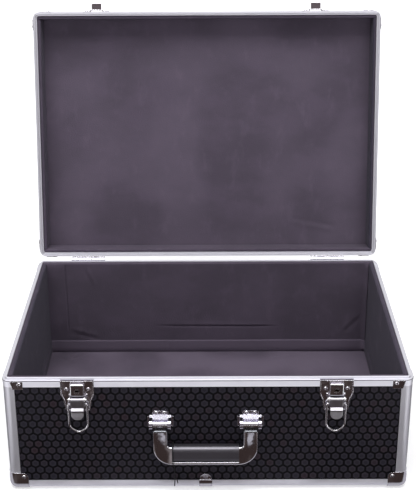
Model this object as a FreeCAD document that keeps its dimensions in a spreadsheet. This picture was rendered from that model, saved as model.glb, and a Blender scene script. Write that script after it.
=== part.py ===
import FreeCAD, Part
import math
import os

import Sketcher
from FreeCAD import Placement, Rotation, Vector

# A flight case: panels held in aluminium extrusions, a lined inside, a lid on two stop hinges,
# two draw latches with locks and a folding handle. The case stands open, as it is used.
# Frame: X to the right, Y to the back, Z up. The origin is on the surface that the case stands on, under the
# middle of the open case. The pieces are drawn round the centre of the floor panel's underside, with the
# lid closed, and then placed. All lengths are in millimetres.

SIZES = {
    # the whole case
    "case_width": 500,
    "case_depth": 357,
    "parting_height": 155.2,
    "lid_height": 50,
    "open_angle": 103,
    "origin_back": 58.8,
    # panels and extrusions
    "panel_thickness": 3,
    "profile_wall": 1.2,
    "edge_radius": 9,
    "post_flange": 14.5,
    "post_inner_leg": 13,
    "edge_flange": 12.5,
    "edge_inner_leg": 11.5,
    "rim_band": 9,
    "rim_inner_band": 8.5,
    "rim_web": 2,
    "lid_inner_band": 8.5,
    "tongue_height": 2.4,
    "tongue_width": 2.2,
    "tongue_clearance": 0.4,
    "seam_gap": 1.1,
    # lining
    "wall_lining": 6,
    "floor_lining": 4,
    "lid_lining": 4.5,
    "lining_gap": 0.3,
    "lining_drop": 1.2,
    # corner caps, edge clip and rim brackets
    "cap_sheet": 1,
    "cap_reach": 24,
    "cap_tab_radius": 7,
    "cap_rivet_place": 18.5,
    "clip_width": 16.6,
    "clip_tab_width": 14,
    "clip_height": 21.5,
    "clip_under": 11,
    "clip_bend": 0.8,
    "clip_top_radius": 6.5,
    "clip_rivet_drop": 4.6,
    "bracket_sheet": 0.9,
    "bracket_start": 9.6,
    "bracket_reach": 25.4,
    "bracket_height": 11,
    "bracket_slant": 3,
    "bracket_drop": 0.8,
    "bracket_rivet_place": 21,
    "bracket_rivet_drop": 4.8,
    # rivets
    "rivet_radius": 2.7,
    "rivet_height": 0.9,
    "rivet_bevel": 0.7,
    "rivet_dimple_radius": 1.1,
    "rivet_dimple_depth": 0.5,
    # hinges
    "hinge_inset": 72,
    "hinge_width": 49,
    "hinge_axis_out": 5.2,
    "hinge_pin_radius": 1.6,
    "knuckle_radius": 3.6,
    "knuckle_gap": 0.3,
    "knuckle_root": 1.6,
    "leaf_sheet": 1.2,
    "leaf_height": 26,
    "leaf_top_gap": 1,
    "leaf_step_gap": 0.3,
    "leaf_rivet_drop": 19,
    "leaf_rivet_place": 16,
    "heel_length": 6,
    "heel_root": 1.2,
    "heel_thickness": 3.2,
    "stop_gap": 0.1,
    # latches
    "latch_offset": -1,
    "latch_inset": 92.5,
    "latch_sheet": 0.8,
    "latch_edge": 1.2,
    "latch_edge_out": 2.4,
    "latch_width": 40.8,
    "latch_waist_width": 34,
    "latch_foot_width": 28.8,
    "latch_height": 41,
    "latch_shoulder": 18,
    "latch_waist": 26,
    "latch_corner_radius": 2.5,
    "latch_lip": 2.9,
    "latch_rivet_place": 13.4,
    "latch_rivet_drop": 11.5,
    "lock_width": 17,
    "lock_out": 5.5,
    "lock_top": 3,
    "lock_bottom": 19.4,
    "lock_round": 1.5,
    "plug_radius": 3.6,
    "plug_drop": 11.5,
    "plug_proud": 0.5,
    "plug_depth": 4,
    "keyway_width": 4.8,
    "keyway_height": 2.2,
    "keyway_depth": 3.2,
    "pivot_out": 7,
    "pivot_drop": 23.3,
    "ear_radius": 4,
    "ear_thickness": 1.4,
    "lever_width": 16.3,
    "lever_pin_radius": 1.5,
    "lever_pin_head": 1.4,
    "lever_pin_head_radius": 2.5,
    "barrel_radius": 2.7,
    "lever_sheet": 1.8,
    "lever_lip_width": 15.2,
    "lever_step_drop": 9.5,
    "lever_step": 2.8,
    "lever_bend_drop": 14.5,
    "lever_lip_drop": 23.5,
    "lever_flare": 1.6,
    "lever_end_radius": 6.8,
    "cheek_thickness": 1.6,
    "bail_pivot_in": 2.5,
    "bail_pivot_drop": 7,
    "cheek_margin": 2.9,
    "bail_wire_radius": 1.3,
    "bail_length": 40,
    "bail_side_gap": 0.35,
    "bail_point": 7.8,
    "bail_bend_radius": 2.2,
    "bail_corner_radius": 11,
    "bail_tip_radius": 6,
    # keepers
    "keeper_width": 39,
    "keeper_height": 14,
    "keeper_lift": 0.1,
    "keeper_sheet": 1,
    "keeper_bridge_width": 17.8,
    "keeper_bridge_rise": 1.8,
    "keeper_bridge_slope": 1,
    "hook_width": 14,
    "hook_out": 12,
    "hook_rise": 2.7,
    "hook_height": 6,
    "keeper_rivet_place": 14.5,
    "keeper_rivet_rise": 7,
    # handle
    "handle_offset": -3,
    "handle_spread": 111,
    "handle_axis_out": 9,
    "handle_axis_height": 98.6,
    "handle_pin_radius": 2,
    "handle_barrel_radius": 4.2,
    "handle_arm_width": 17.8,
    "handle_depth": 13,
    "handle_drop": 55.4,
    "handle_neck": 6,
    "handle_shoulder_round": 2,
    "handle_outer_radius": 24,
    "handle_inner_radius": 4,
    "handle_edge_round": 2.2,
    "handle_rail": 4.6,
    "handle_rail_round": 2.2,
    "grip_length": 82.4,
    "grip_height": 21,
    "grip_depth": 16,
    "grip_round": 6.5,
    "mount_width": 32,
    "mount_sheet": 1.5,
    "mount_above": 6.2,
    "mount_below": 7.5,
    "mount_tab_width": 20,
    "mount_tab_height": 7.8,
    "mount_tab_radius": 3,
    "mount_ear": 4,
    "mount_ear_radius": 6.2,
    "mount_ramp_top": 8.3,
    "mount_ramp_gap": 0.5,
    "mount_side_gap": 0.4,
    "mount_rivet_place": 5,
    "mount_rivet_rise": 11.2,
    # tie string
    "string_radius": 0.6,
    "string_gap": 0.3,
    "string_inset": 1,
    "string_loop_radius": 5,
    "string_length": 33.6,
    "knot_radius": 1.7,
    # fits
    "running_gap": 0.05,
    "seat_gap": 0.02,
    "cut_overrun": 2,
}

HINGE_KNUCKLES = 5
TOUCH = 1e-6

doc = FreeCAD.newDocument("flight_case")


class Size:
    """A value worked out from the sheet: its number and the expression that binds it."""

    def __init__(self, text, value):
        self.text = text
        self.value = float(value)

    def __float__(self):
        return self.value

    def joined(self, sign, other, value):
        return Size(f"({self.text} {sign} {text_of(other)})", value)

    def __add__(self, other):
        return self.joined("+", other, self.value + float(other))

    def __sub__(self, other):
        return self.joined("-", other, self.value - float(other))

    def __mul__(self, other):
        return self.joined("*", other, self.value * float(other))

    def __truediv__(self, other):
        return self.joined("/", other, self.value / float(other))

    def __neg__(self):
        return self * -1

    def __radd__(self, other):
        return Size(text_of(other), other) + self

    def __rsub__(self, other):
        return Size(text_of(other), other) - self


def text_of(item):
    return item.text if isinstance(item, Size) else repr(item)


def make_sheet():
    """The driving dimensions, one row each, and the same values for use in code."""
    sheet = doc.addObject("Spreadsheet::Sheet", "Sizes")
    for row, (alias, number) in enumerate(SIZES.items(), start=1):
        sheet.set(f"A{row}", alias)
        sheet.set(f"B{row}", str(number))
        sheet.setAlias(f"B{row}", alias)
    doc.recompute()
    values = {alias: Size(f"Sizes.{alias}", sheet.get(alias)) for alias in SIZES}
    return type("Sheet", (), values)


s = make_sheet()

# Planes and thicknesses that many pieces share
LEFT = -s.case_width / 2
FRONT = -s.case_depth / 2
REAR = s.case_depth / 2
PART = s.parting_height
UNDERSIDE = -s.profile_wall
LID_SEAM = PART + s.seam_gap
LID_TOP = PART + s.lid_height
SLOT_BACK = s.profile_wall + s.panel_thickness
PROFILE = SLOT_BACK + s.profile_wall
SHOULDER = PROFILE - s.tongue_width
RECESS = s.tongue_height + s.tongue_clearance - s.seam_gap
HINGE_X = s.case_width / 2 - s.hinge_inset
HINGE_Y = REAR + s.hinge_axis_out
PANEL_FACE = FRONT + s.profile_wall


# Building blocks

def place(obj, base):
    for axis, item in zip("xyz", base):
        obj.setExpression(f"Placement.Base.{axis}", text_of(item))
    return obj


def block(low, high):
    """A block between two opposite corners."""
    obj = doc.addObject("Part::Box", "Block")
    for name, a, b in zip(("Length", "Width", "Height"), low, high):
        obj.setExpression(name, text_of(b - a))
    return place(obj, low)


def rod(axis, base, length, radius):
    """A cylinder along X or Y that starts at base."""
    turns = {"X": Rotation(Vector(0, 1, 0), 90), "Y": Rotation(Vector(1, 0, 0), -90)}
    obj = doc.addObject("Part::Cylinder", "Rod")
    obj.Placement = Placement(Vector(), turns[axis])
    obj.setExpression("Radius", text_of(radius))
    obj.setExpression("Height", text_of(length))
    return place(obj, base)


def fuse(*pieces):
    obj = doc.addObject("Part::MultiFuse", "Fuse")
    obj.Shapes = list(pieces)
    return obj


def cut(base, *tools):
    obj = doc.addObject("Part::Cut", "Cut")
    obj.Base = base
    obj.Tool = tools[0] if len(tools) == 1 else fuse(*tools)
    return obj


def mirror(source, axis, at=0):
    """The source's image in a plane square to an axis."""
    normals = {"x": Vector(1, 0, 0), "y": Vector(0, 1, 0), "z": Vector(0, 0, 1)}
    obj = doc.addObject("Part::Mirroring", "Mirror")
    obj.Source = source
    obj.Normal = normals[axis]
    obj.setExpression(f"Base.{axis}", text_of(at))
    return obj


def both(source, axis, at=0):
    return [source, mirror(source, axis, at)]


def four(source):
    """The source at the front left corner and its images at the other three."""
    return [piece for half in both(source, "x") for piece in both(half, "y")]


def slab(low, high):
    """A block between two opposite corners, as a body whose edges can be rounded."""
    body = doc.addObject("PartDesign::Body", "Body")
    feature = body.newObject("PartDesign::AdditiveBox", "Box")
    for name, a, b in zip(("Length", "Width", "Height"), low, high):
        feature.setExpression(name, text_of(b - a))
    return place(body, low)


def rounded(body, chosen, radius):
    """The body with the chosen edges rounded."""
    doc.recompute()
    sharp = body.Tip
    names = [f"Edge{i}" for i, edge in enumerate(body.Shape.Edges, start=1) if chosen(edge)]
    fillet = body.newObject("PartDesign::Fillet", "Fillet")
    fillet.Base = (sharp, names)
    fillet.setExpression("Radius", text_of(radius))
    return body


def along(edge, axis):
    """Whether an edge is straight and runs along an axis."""
    if edge.Curve.TypeId != "Part::GeomLine":
        return False
    return abs(abs(getattr(edge.Curve.Direction, axis)) - 1) < TOUCH


def near(a, b):
    return abs(float(a) - float(b)) < TOUCH


def outline_sketch(body, plane, outline):
    """A closed outline on one of the body's planes, every corner bound to the sheet."""
    sketch = body.newObject("Sketcher::SketchObject", "Sketch")
    support = next(f for f in body.Origin.OriginFeatures if f.Role == plane)
    sketch.AttachmentSupport = (support, [""])
    sketch.MapMode = "FlatFace"
    corners = [Vector(float(a), float(b), 0) for a, b in outline]
    count = len(corners)
    for i in range(count):
        sketch.addGeometry(Part.LineSegment(corners[i], corners[(i + 1) % count]))
    for i in range(count):
        sketch.addConstraint(Sketcher.Constraint("Coincident", i, 2, (i + 1) % count, 1))
    for i, corner in enumerate(outline):
        for kind, axis, item in zip(("DistanceX", "DistanceY"), (-2, -1), corner):
            if near(item, 0):
                sketch.addConstraint(Sketcher.Constraint("PointOnObject", i, 1, axis))
                continue
            index = sketch.addConstraint(Sketcher.Constraint(kind, -1, 1, i, 1, float(item)))
            sketch.setExpression(f"Constraints[{index}]", text_of(item))
    return sketch


def pad(plane, outline, length, base):
    """An outline padded to both sides of its plane."""
    body = doc.addObject("PartDesign::Body", "Body")
    sketch = outline_sketch(body, plane, outline)
    feature = body.newObject("PartDesign::Pad", "Pad")
    feature.Profile = sketch
    feature.SideType = "Symmetric"
    feature.setExpression("Length", text_of(length))
    return place(body, base)


def revolve(outline, angle, turn, base):
    """An outline of radius and height turned about Z, to both sides of a direction."""
    body = doc.addObject("PartDesign::Body", "Body")
    sketch = outline_sketch(body, "XZ_Plane", outline)
    feature = body.newObject("PartDesign::Revolution", "Revolution")
    feature.Profile = sketch
    feature.ReferenceAxis = (sketch, ["V_Axis"])
    feature.Angle = angle
    feature.Midplane = True
    body.Placement = Placement(Vector(), Rotation(Vector(0, 0, 1), turn))
    return place(body, base)


def solid_feature(shape):
    obj = doc.addObject("Part::Feature", "Solid")
    obj.Shape = shape
    return obj


nodes = []


def hinge_turn(degrees):
    """A turn about the lid's hinge axis."""
    centre = Vector(0, float(HINGE_Y), float(PART))
    return Placement(Vector(), Rotation(Vector(1, 0, 0), degrees), centre)


STAND = Placement(Vector(0, -float(s.origin_back), float(s.cap_sheet - UNDERSIDE)), Rotation())
OPEN = STAND.multiply(hinge_turn(-float(s.open_angle)))


def node(label, pieces, placement=STAND):
    """One sub-part: its pieces under one label."""
    obj = doc.addObject("Part::Compound", "Node")
    obj.Links = pieces if isinstance(pieces, list) else [pieces]
    obj.Label = label
    obj.Placement = placement
    nodes.append(obj)
    return obj


def lid_node(label, pieces):
    """A sub-part of the lid, drawn closed and stood open."""
    return node(label, pieces, OPEN)


# Rivets: one head, copied to each seat

RIVET_TURNS = {
    "front": Rotation(Vector(1, 0, 0), 90),
    "rear": Rotation(Vector(1, 0, 0), -90),
    "left": Rotation(Vector(0, 1, 0), -90),
    "right": Rotation(Vector(0, 1, 0), 90),
}
MIRRORED_FACE = {"front": "rear", "rear": "front", "left": "right", "right": "left"}
base_rivets = []
lid_rivets = []


def make_rivet():
    outline = [
        (0, 0),
        (s.rivet_radius, 0),
        (s.rivet_radius - s.rivet_bevel, s.rivet_height),
        (s.rivet_dimple_radius, s.rivet_height),
        (0, s.rivet_height - s.rivet_dimple_depth),
    ]
    return revolve(outline, 360, 0, (0, 0, 0))


rivet = make_rivet()


def seat(group, face, point):
    group.append((face, [float(item) for item in point]))


def seat_pair(group, face, point, middle=0):
    """A rivet and its image on the other side of a middle plane."""
    x, y, z = point
    seat(group, face, point)
    other = MIRRORED_FACE[face] if face in ("left", "right") else face
    seat(group, other, (middle * 2 - x, y, z))


def seat_four(group, face, point):
    """A rivet at the front left corner and at the other three."""
    x, y, z = point
    seat_pair(group, face, point)
    back = MIRRORED_FACE[face] if face in ("front", "rear") else face
    seat_pair(group, back, (x, -y, z))


def rivet_group(seats):
    heads = []
    for face, point in seats:
        head = rivet.Shape.copy()
        head.Placement = Placement(Vector(*point), RIVET_TURNS[face])
        heads.append(head)
    return solid_feature(Part.makeCompound(heads))


# Extrusions

def corner_profile(flange, leg):
    """A rounded angle with a slot for a panel along each side, before its corner is rounded."""
    wall = s.profile_wall
    root = s.edge_radius
    half = [
        (flange, 0),
        (flange, wall),
        (root, wall),
        (root, SLOT_BACK),
        (leg, SLOT_BACK),
        (leg, PROFILE),
    ]
    return [(0, 0)] + half + [(PROFILE, PROFILE)] + [(b, a) for a, b in reversed(half)]


def angle_extrusion(plane, flange, leg, length, base, axis):
    """A rounded angle along an axis, its outer corner at the base point."""
    body = pad(plane, corner_profile(flange, leg), length, base)
    corner = {name: item for name, item in zip("xyz", base) if name != axis}

    def outer(edge):
        middle = edge.CenterOfMass
        return along(edge, axis) and all(near(getattr(middle, n), item) for n, item in corner.items())

    return rounded(body, outer, s.edge_radius)


def posts(low, high):
    """The four upright corner posts between two heights."""
    middle = (low + high) / 2
    corner = (LEFT, FRONT, middle)
    post = angle_extrusion("XY_Plane", s.post_flange, s.post_inner_leg, high - low, corner, "z")
    return four(post)


def bottom_edges():
    """The four extrusions along the bottom."""
    span = s.case_width - s.edge_radius * 2
    reach = s.case_depth - s.edge_flange * 2
    size = (s.edge_flange, s.edge_inner_leg)
    front = angle_extrusion("YZ_Plane", *size, span, (0, FRONT, UNDERSIDE), "x")
    left = angle_extrusion("XZ_Plane", *size, reach, (LEFT, 0, UNDERSIDE), "y")
    return both(front, "y") + both(left, "x")


def upside_down(pieces):
    """Pieces of the base's bottom, mirrored to the lid's top."""
    return [mirror(piece, "z", (LID_TOP + UNDERSIDE) / 2) for piece in pieces]


def base_rim_outline():
    foot = s.rim_inner_band
    wall = s.profile_wall
    return [
        (0, foot - s.rim_band),
        (wall, foot - s.rim_band),
        (wall, foot - s.rim_web),
        (SLOT_BACK, foot - s.rim_web),
        (SLOT_BACK, 0),
        (PROFILE, 0),
        (PROFILE, foot + s.tongue_height),
        (SHOULDER, foot + s.tongue_height),
        (SHOULDER, foot),
        (0, foot),
    ]


def lid_rim_outline():
    lip = SHOULDER - s.tongue_clearance
    wall = s.profile_wall
    return [
        (0, 0),
        (lip, 0),
        (lip, RECESS),
        (PROFILE, RECESS),
        (PROFILE, s.lid_inner_band),
        (SLOT_BACK, s.lid_inner_band),
        (SLOT_BACK, RECESS + s.rim_web),
        (wall, RECESS + s.rim_web),
        (wall, s.rim_band),
        (0, s.rim_band),
    ]


def rim(outline, height):
    """Four straight rim extrusions."""
    span = s.case_width - s.edge_radius * 2
    reach = s.case_depth - s.edge_radius * 2
    front = pad("YZ_Plane", outline, span, (0, FRONT, height))
    left = pad("XZ_Plane", outline, reach, (LEFT, 0, height))
    return both(front, "y") + both(left, "x")


def rim_corners(outline, height):
    """Four quarter turns of the rim, round the case's upright corners."""
    turned = [(s.edge_radius - inward, rise) for inward, rise in outline]
    base = (LEFT + s.edge_radius, FRONT + s.edge_radius, height)
    return four(revolve(turned, 90, 225, base))


# Panels and lining

def wall_panels(low, high):
    """Front, rear, left and right panels, in the slots of the extrusions."""
    inner_x = LEFT + s.edge_radius
    inner_y = FRONT + s.edge_radius
    front = block((inner_x, PANEL_FACE, low), (-inner_x, FRONT + SLOT_BACK, high))
    left = block((LEFT + s.profile_wall, inner_y, low), (LEFT + SLOT_BACK, -inner_y, high))
    return both(front, "y") + both(left, "x")


def flat_panel(low):
    inner_x = LEFT + s.edge_radius
    inner_y = FRONT + s.edge_radius
    return block((inner_x, inner_y, low), (-inner_x, -inner_y, low + s.panel_thickness))


def wall_linings(thickness, low, high):
    """Front, rear, left and right padded walls."""
    outer_x = LEFT + PROFILE + s.lining_gap
    outer_y = FRONT + PROFILE + s.lining_gap
    side_y = outer_y + thickness + s.lining_gap
    front = slab((outer_x, outer_y, low), (-outer_x, outer_y + thickness, high))

    def outer_corner(edge):
        return along(edge, "z") and near(edge.CenterOfMass.y, outer_y)

    front = rounded(front, outer_corner, s.edge_radius - PROFILE - s.lining_gap)
    left = block((outer_x, side_y, low), (outer_x + thickness, -side_y, high))
    return both(front, "y") + both(left, "x")


def flat_lining(low, thickness):
    outer_x = LEFT + PROFILE + s.lining_gap
    outer_y = FRONT + PROFILE + s.lining_gap
    return block((outer_x, outer_y, low), (-outer_x, -outer_y, low + thickness))


# Chrome corners, brackets and the edge clip

def corner_cap():
    """A three-way cap of sheet over the bottom corner, with a rounded tab on each face."""
    sheet = float(s.cap_sheet)
    reach = float(s.cap_reach)
    radius = float(s.edge_radius)
    inner = Vector(float(LEFT), float(FRONT), float(UNDERSIDE))
    outer = inner - Vector(sheet, sheet, sheet)
    side = reach + sheet
    far = outer + Vector(side, side, side)

    def ends_at(edge, point):
        return any(vertex.Point.distanceToPoint(point) < TOUCH for vertex in edge.Vertexes)

    shell = Part.makeBox(side, side, side, outer)
    shell = shell.makeFillet(radius + sheet, [e for e in shell.Edges if ends_at(e, outer)])
    shell = shell.makeFillet(float(s.cap_tab_radius), [e for e in shell.Edges if ends_at(e, far)])
    core = Part.makeBox(side, side, side, inner)
    core = core.makeFillet(radius, [e for e in core.Edges if ends_at(e, inner)])
    return solid_feature(shell.cut(core))


def edge_clip():
    """A strap over the front bottom edge, stepped back to a round tab on the panel."""
    middle = s.handle_offset
    half = s.clip_width / 2
    tab = s.clip_tab_width / 2
    sheet = s.cap_sheet
    low = UNDERSIDE - sheet
    step = UNDERSIDE + s.edge_flange
    top = UNDERSIDE + s.clip_height
    overrun = s.cut_overrun
    outer = slab((middle - half, FRONT - sheet, low), (middle + half, FRONT + s.clip_under, step))
    inner = slab((middle - half - overrun, FRONT, UNDERSIDE), (middle + half + overrun, REAR, PART))
    shoulder = slab((middle - half, FRONT - sheet, step), (middle + half, PANEL_FACE, step + sheet))
    upper = slab((middle - tab, PANEL_FACE - sheet, step), (middle + tab, PANEL_FACE, top))

    def front_edge(level, face):
        def chosen(edge):
            point = edge.CenterOfMass
            return along(edge, "x") and near(point.z, level) and near(point.y, face)
        return chosen

    def upper_corner(edge):
        return along(edge, "y") and near(edge.CenterOfMass.z, top)

    outer = rounded(outer, front_edge(low, FRONT - sheet), s.edge_radius + sheet)
    inner = rounded(inner, front_edge(UNDERSIDE, FRONT), s.edge_radius)
    shoulder = rounded(shoulder, front_edge(step + sheet, FRONT - sheet), s.clip_bend)
    upper = rounded(upper, upper_corner, s.clip_top_radius)
    seat(base_rivets, "front", (middle, PANEL_FACE - sheet, top - s.clip_rivet_drop))
    return fuse(cut(outer, inner), shoulder, upper)


def rim_brackets():
    """Two flat plates at each corner, over the joint between rim, corner piece and post."""
    foot = PART - s.bracket_drop - s.bracket_height
    outline = [
        (s.bracket_start + s.bracket_slant, 0),
        (s.bracket_reach, 0),
        (s.bracket_reach, s.bracket_height),
        (s.bracket_start, s.bracket_height),
    ]
    half = s.bracket_sheet / 2
    front = pad("XZ_Plane", outline, s.bracket_sheet, (LEFT, FRONT - half, foot))
    left = pad("YZ_Plane", outline, s.bracket_sheet, (LEFT - half, FRONT, foot))
    for group, level in ((base_rivets, PART - s.bracket_rivet_drop),
                         (lid_rivets, LID_SEAM + s.bracket_rivet_drop)):
        seat_four(group, "front", (LEFT + s.bracket_rivet_place, FRONT - s.bracket_sheet, level))
        seat_four(group, "left", (LEFT - s.bracket_sheet, FRONT + s.bracket_rivet_place, level))
    return four(front) + four(left)


def cap_rivets():
    """One rivet on each upright face of each cap."""
    place_in = s.cap_rivet_place
    for group, level in ((base_rivets, UNDERSIDE + place_in), (lid_rivets, LID_TOP - place_in)):
        seat_four(group, "front", (LEFT + place_in, FRONT - s.cap_sheet, level))
        seat_four(group, "left", (LEFT - s.cap_sheet, FRONT + place_in, level))


# Hinges

def leaf_outline():
    """A leaf that lies on the rim band and steps in to the panel below it."""
    wall = s.profile_wall
    sheet = s.leaf_sheet
    step = s.leaf_height - s.rim_band - s.seam_gap - s.leaf_step_gap
    top = s.leaf_height - s.leaf_top_gap
    return [
        (0, 0),
        (sheet, 0),
        (sheet, step - sheet),
        (wall + sheet, step - sheet),
        (wall + sheet, top),
        (wall, top),
        (wall, step),
        (0, step),
    ]


def knuckle_span(index):
    """Where a knuckle starts and ends along the hinge."""
    pitch = (s.hinge_width + s.knuckle_gap) / HINGE_KNUCKLES
    start = HINGE_X - s.hinge_width / 2 + pitch * index
    return start, start + pitch - s.knuckle_gap


def base_style_leaf(indices):
    """A leaf with its knuckles, as it lies on the base."""
    plate_base = (HINGE_X, REAR - s.profile_wall, PART - s.leaf_height)
    pieces = [pad("YZ_Plane", leaf_outline(), s.hinge_width, plate_base)]
    root_low = PART - s.knuckle_radius
    for index in indices:
        start, end = knuckle_span(index)
        pieces.append(rod("X", (start, HINGE_Y, PART), end - start, s.knuckle_radius))
        pieces.append(block((start, REAR, root_low), (end, HINGE_Y, root_low + s.knuckle_root)))
    return fuse(*pieces)


def hinge_bore():
    start = HINGE_X - s.hinge_width / 2 - s.cut_overrun
    length = s.hinge_width + s.cut_overrun * 2
    return rod("X", (start, HINGE_Y, PART), length, s.hinge_pin_radius + s.running_gap)


def stop_heel(index):
    """The heel on a lid knuckle that meets the base leaf when the lid stands open."""
    start, end = knuckle_span(index)
    face = REAR + s.leaf_sheet + s.stop_gap
    low = PART - s.heel_length
    heel = doc.addObject("Part::Box", "Heel")
    heel.setExpression("Length", text_of(end - start))
    heel.setExpression("Width", text_of(s.heel_thickness))
    heel.setExpression("Height", text_of(s.heel_length - s.heel_root))
    stood_open = Placement(Vector(float(start), float(face), float(low)), Rotation())
    heel.Placement = hinge_turn(float(s.open_angle)).multiply(stood_open)
    return heel


def make_hinges():
    """Two stop hinges on the rear: base leaves, lid leaves and pins."""
    base_knuckles = range(0, HINGE_KNUCKLES, 2)
    lid_knuckles = range(1, HINGE_KNUCKLES, 2)
    base_leaf = cut(base_style_leaf(base_knuckles), hinge_bore())
    flipped = mirror(base_style_leaf(lid_knuckles), "z", PART)
    heels = [stop_heel(index) for index in lid_knuckles]
    lid_leaf = cut(fuse(flipped, *heels), hinge_bore())
    start = HINGE_X - s.hinge_width / 2
    pin = rod("X", (start, HINGE_Y, PART), s.hinge_width, s.hinge_pin_radius)
    for side in (-1, 1):
        x = HINGE_X + s.leaf_rivet_place * side
        seat_pair(base_rivets, "rear", (x, REAR - s.profile_wall + s.leaf_sheet, PART - s.leaf_rivet_drop))
        seat_pair(lid_rivets, "rear", (x, REAR - s.profile_wall + s.leaf_sheet, PART + s.leaf_rivet_drop))
    for side, base, lid in zip(("right", "left"), both(base_leaf, "x"), both(lid_leaf, "x")):
        node(f"hinge_base_leaf_{side}", base)
        lid_node(f"hinge_lid_leaf_{side}", lid)
    node("hinge_pins", both(pin, "x"))


# Latches

LATCH_MIDDLE = s.latch_offset
LATCH_X = LATCH_MIDDLE + s.case_width / 2 - s.latch_inset
PIVOT_Y = FRONT - s.pivot_out
PIVOT_Z = PART - s.pivot_drop
BAIL_Y = PIVOT_Y + s.bail_pivot_in
BAIL_Z = PIVOT_Z - s.bail_pivot_drop
EAR_INNER = s.lever_width / 2 + s.bail_side_gap
EAR_OUTER = EAR_INNER + s.ear_thickness


def across(half, low, high):
    """Corners of a block that is centred on the latch."""
    return (LATCH_X - half,) + low, (LATCH_X + half,) + high


def plate_outline(inset, height):
    """The latch plate's outline: wide at the top, drawn in to a narrow foot."""
    middle = s.latch_width / 2
    right = [
        (middle + s.latch_foot_width / 2 - inset, inset),
        (middle + s.latch_waist_width / 2 - inset, s.latch_height - s.latch_waist),
        (s.latch_width - inset, s.latch_height - s.latch_shoulder),
        (s.latch_width - inset, height),
    ]
    return right + [(s.latch_width - x, z) for x, z in reversed(right)]


def latch_plate():
    """The plate on the rim: a tray with a lip over the shoulder, a lock housing and two lever ears."""
    sheet = s.latch_sheet
    half = s.latch_width / 2
    out = s.latch_edge_out
    edge_face = FRONT - out
    foot = PART - s.latch_height
    tray = pad("XZ_Plane", plate_outline(0, s.latch_height), out, (LATCH_X - half, FRONT - out / 2, foot))

    def plate_corner(edge):
        return along(edge, "y") and edge.CenterOfMass.z < float(PART)

    tray = rounded(tray, plate_corner, s.latch_corner_radius)
    hollow = out - sheet + s.cut_overrun
    hollow_y = FRONT - sheet - hollow / 2
    inside_outline = plate_outline(s.latch_edge, s.latch_height)
    inside = pad("XZ_Plane", inside_outline, hollow, (LATCH_X - half, hollow_y, foot))
    lip = block(*across(half, (edge_face, PART), (FRONT + s.latch_lip, PART + sheet)))
    face = FRONT - s.lock_out
    housing = slab(*across(s.lock_width / 2, (face, PART - s.lock_bottom),
                           (FRONT - sheet, PART - s.lock_top)))

    def front_edge(edge):
        return near(edge.CenterOfMass.y, face) or along(edge, "y")

    housing = rounded(housing, front_edge, s.lock_round)
    plug_z = PART - s.plug_drop
    bore_length = s.plug_depth + s.running_gap
    bore = rod("Y", (LATCH_X, face - s.cut_overrun, plug_z), bore_length + s.cut_overrun,
               s.plug_radius + s.running_gap)
    pin_hole = rod("X", (LATCH_X - s.latch_width, PIVOT_Y, PIVOT_Z), s.latch_width * 2,
                   s.lever_pin_radius + s.seat_gap)
    ears = []
    for start in (LATCH_X - EAR_OUTER, LATCH_X + EAR_INNER):
        ears.append(rod("X", (start, PIVOT_Y, PIVOT_Z), s.ear_thickness, s.ear_radius))
        ears.append(block((start, PIVOT_Y, PIVOT_Z - s.ear_radius),
                          (start + s.ear_thickness, FRONT - sheet, PIVOT_Z + s.ear_radius)))
    for side in (-1, 1):
        rivet_x = LATCH_X + s.latch_rivet_place * side
        seat_pair(base_rivets, "front", (rivet_x, FRONT - sheet, PART - s.latch_rivet_drop), LATCH_MIDDLE)
    return cut(fuse(cut(tray, inside), lip, housing, *ears), bore, pin_hole)


def lock_plug():
    """The plug that a key turns, with its keyway."""
    face = FRONT - s.lock_out - s.plug_proud
    plug_z = PART - s.plug_drop
    plug = rod("Y", (LATCH_X, face, plug_z), s.plug_depth + s.plug_proud, s.plug_radius)
    low = (face - s.cut_overrun, plug_z - s.keyway_height / 2)
    high = (face + s.keyway_depth, plug_z + s.keyway_height / 2)
    return cut(plug, block(*across(s.keyway_width / 2, low, high)))


def lever_lip_outline():
    """The lever's sheet seen from the side: down from the barrel, a step out, then a flared lip."""
    back = s.lever_step + s.lever_flare
    sheet = s.lever_sheet
    drop = s.lever_lip_drop
    return [
        (back + sheet, drop),
        (back, drop),
        (back, drop - s.lever_step_drop),
        (s.lever_flare, drop - s.lever_step_drop - s.lever_step),
        (s.lever_flare, drop - s.lever_bend_drop),
        (0, 0),
        (sheet, 0),
        (s.lever_flare + sheet, drop - s.lever_bend_drop),
        (s.lever_flare + sheet, drop - s.lever_step_drop - s.lever_step),
        (back + sheet, drop - s.lever_step_drop),
    ]


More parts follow.
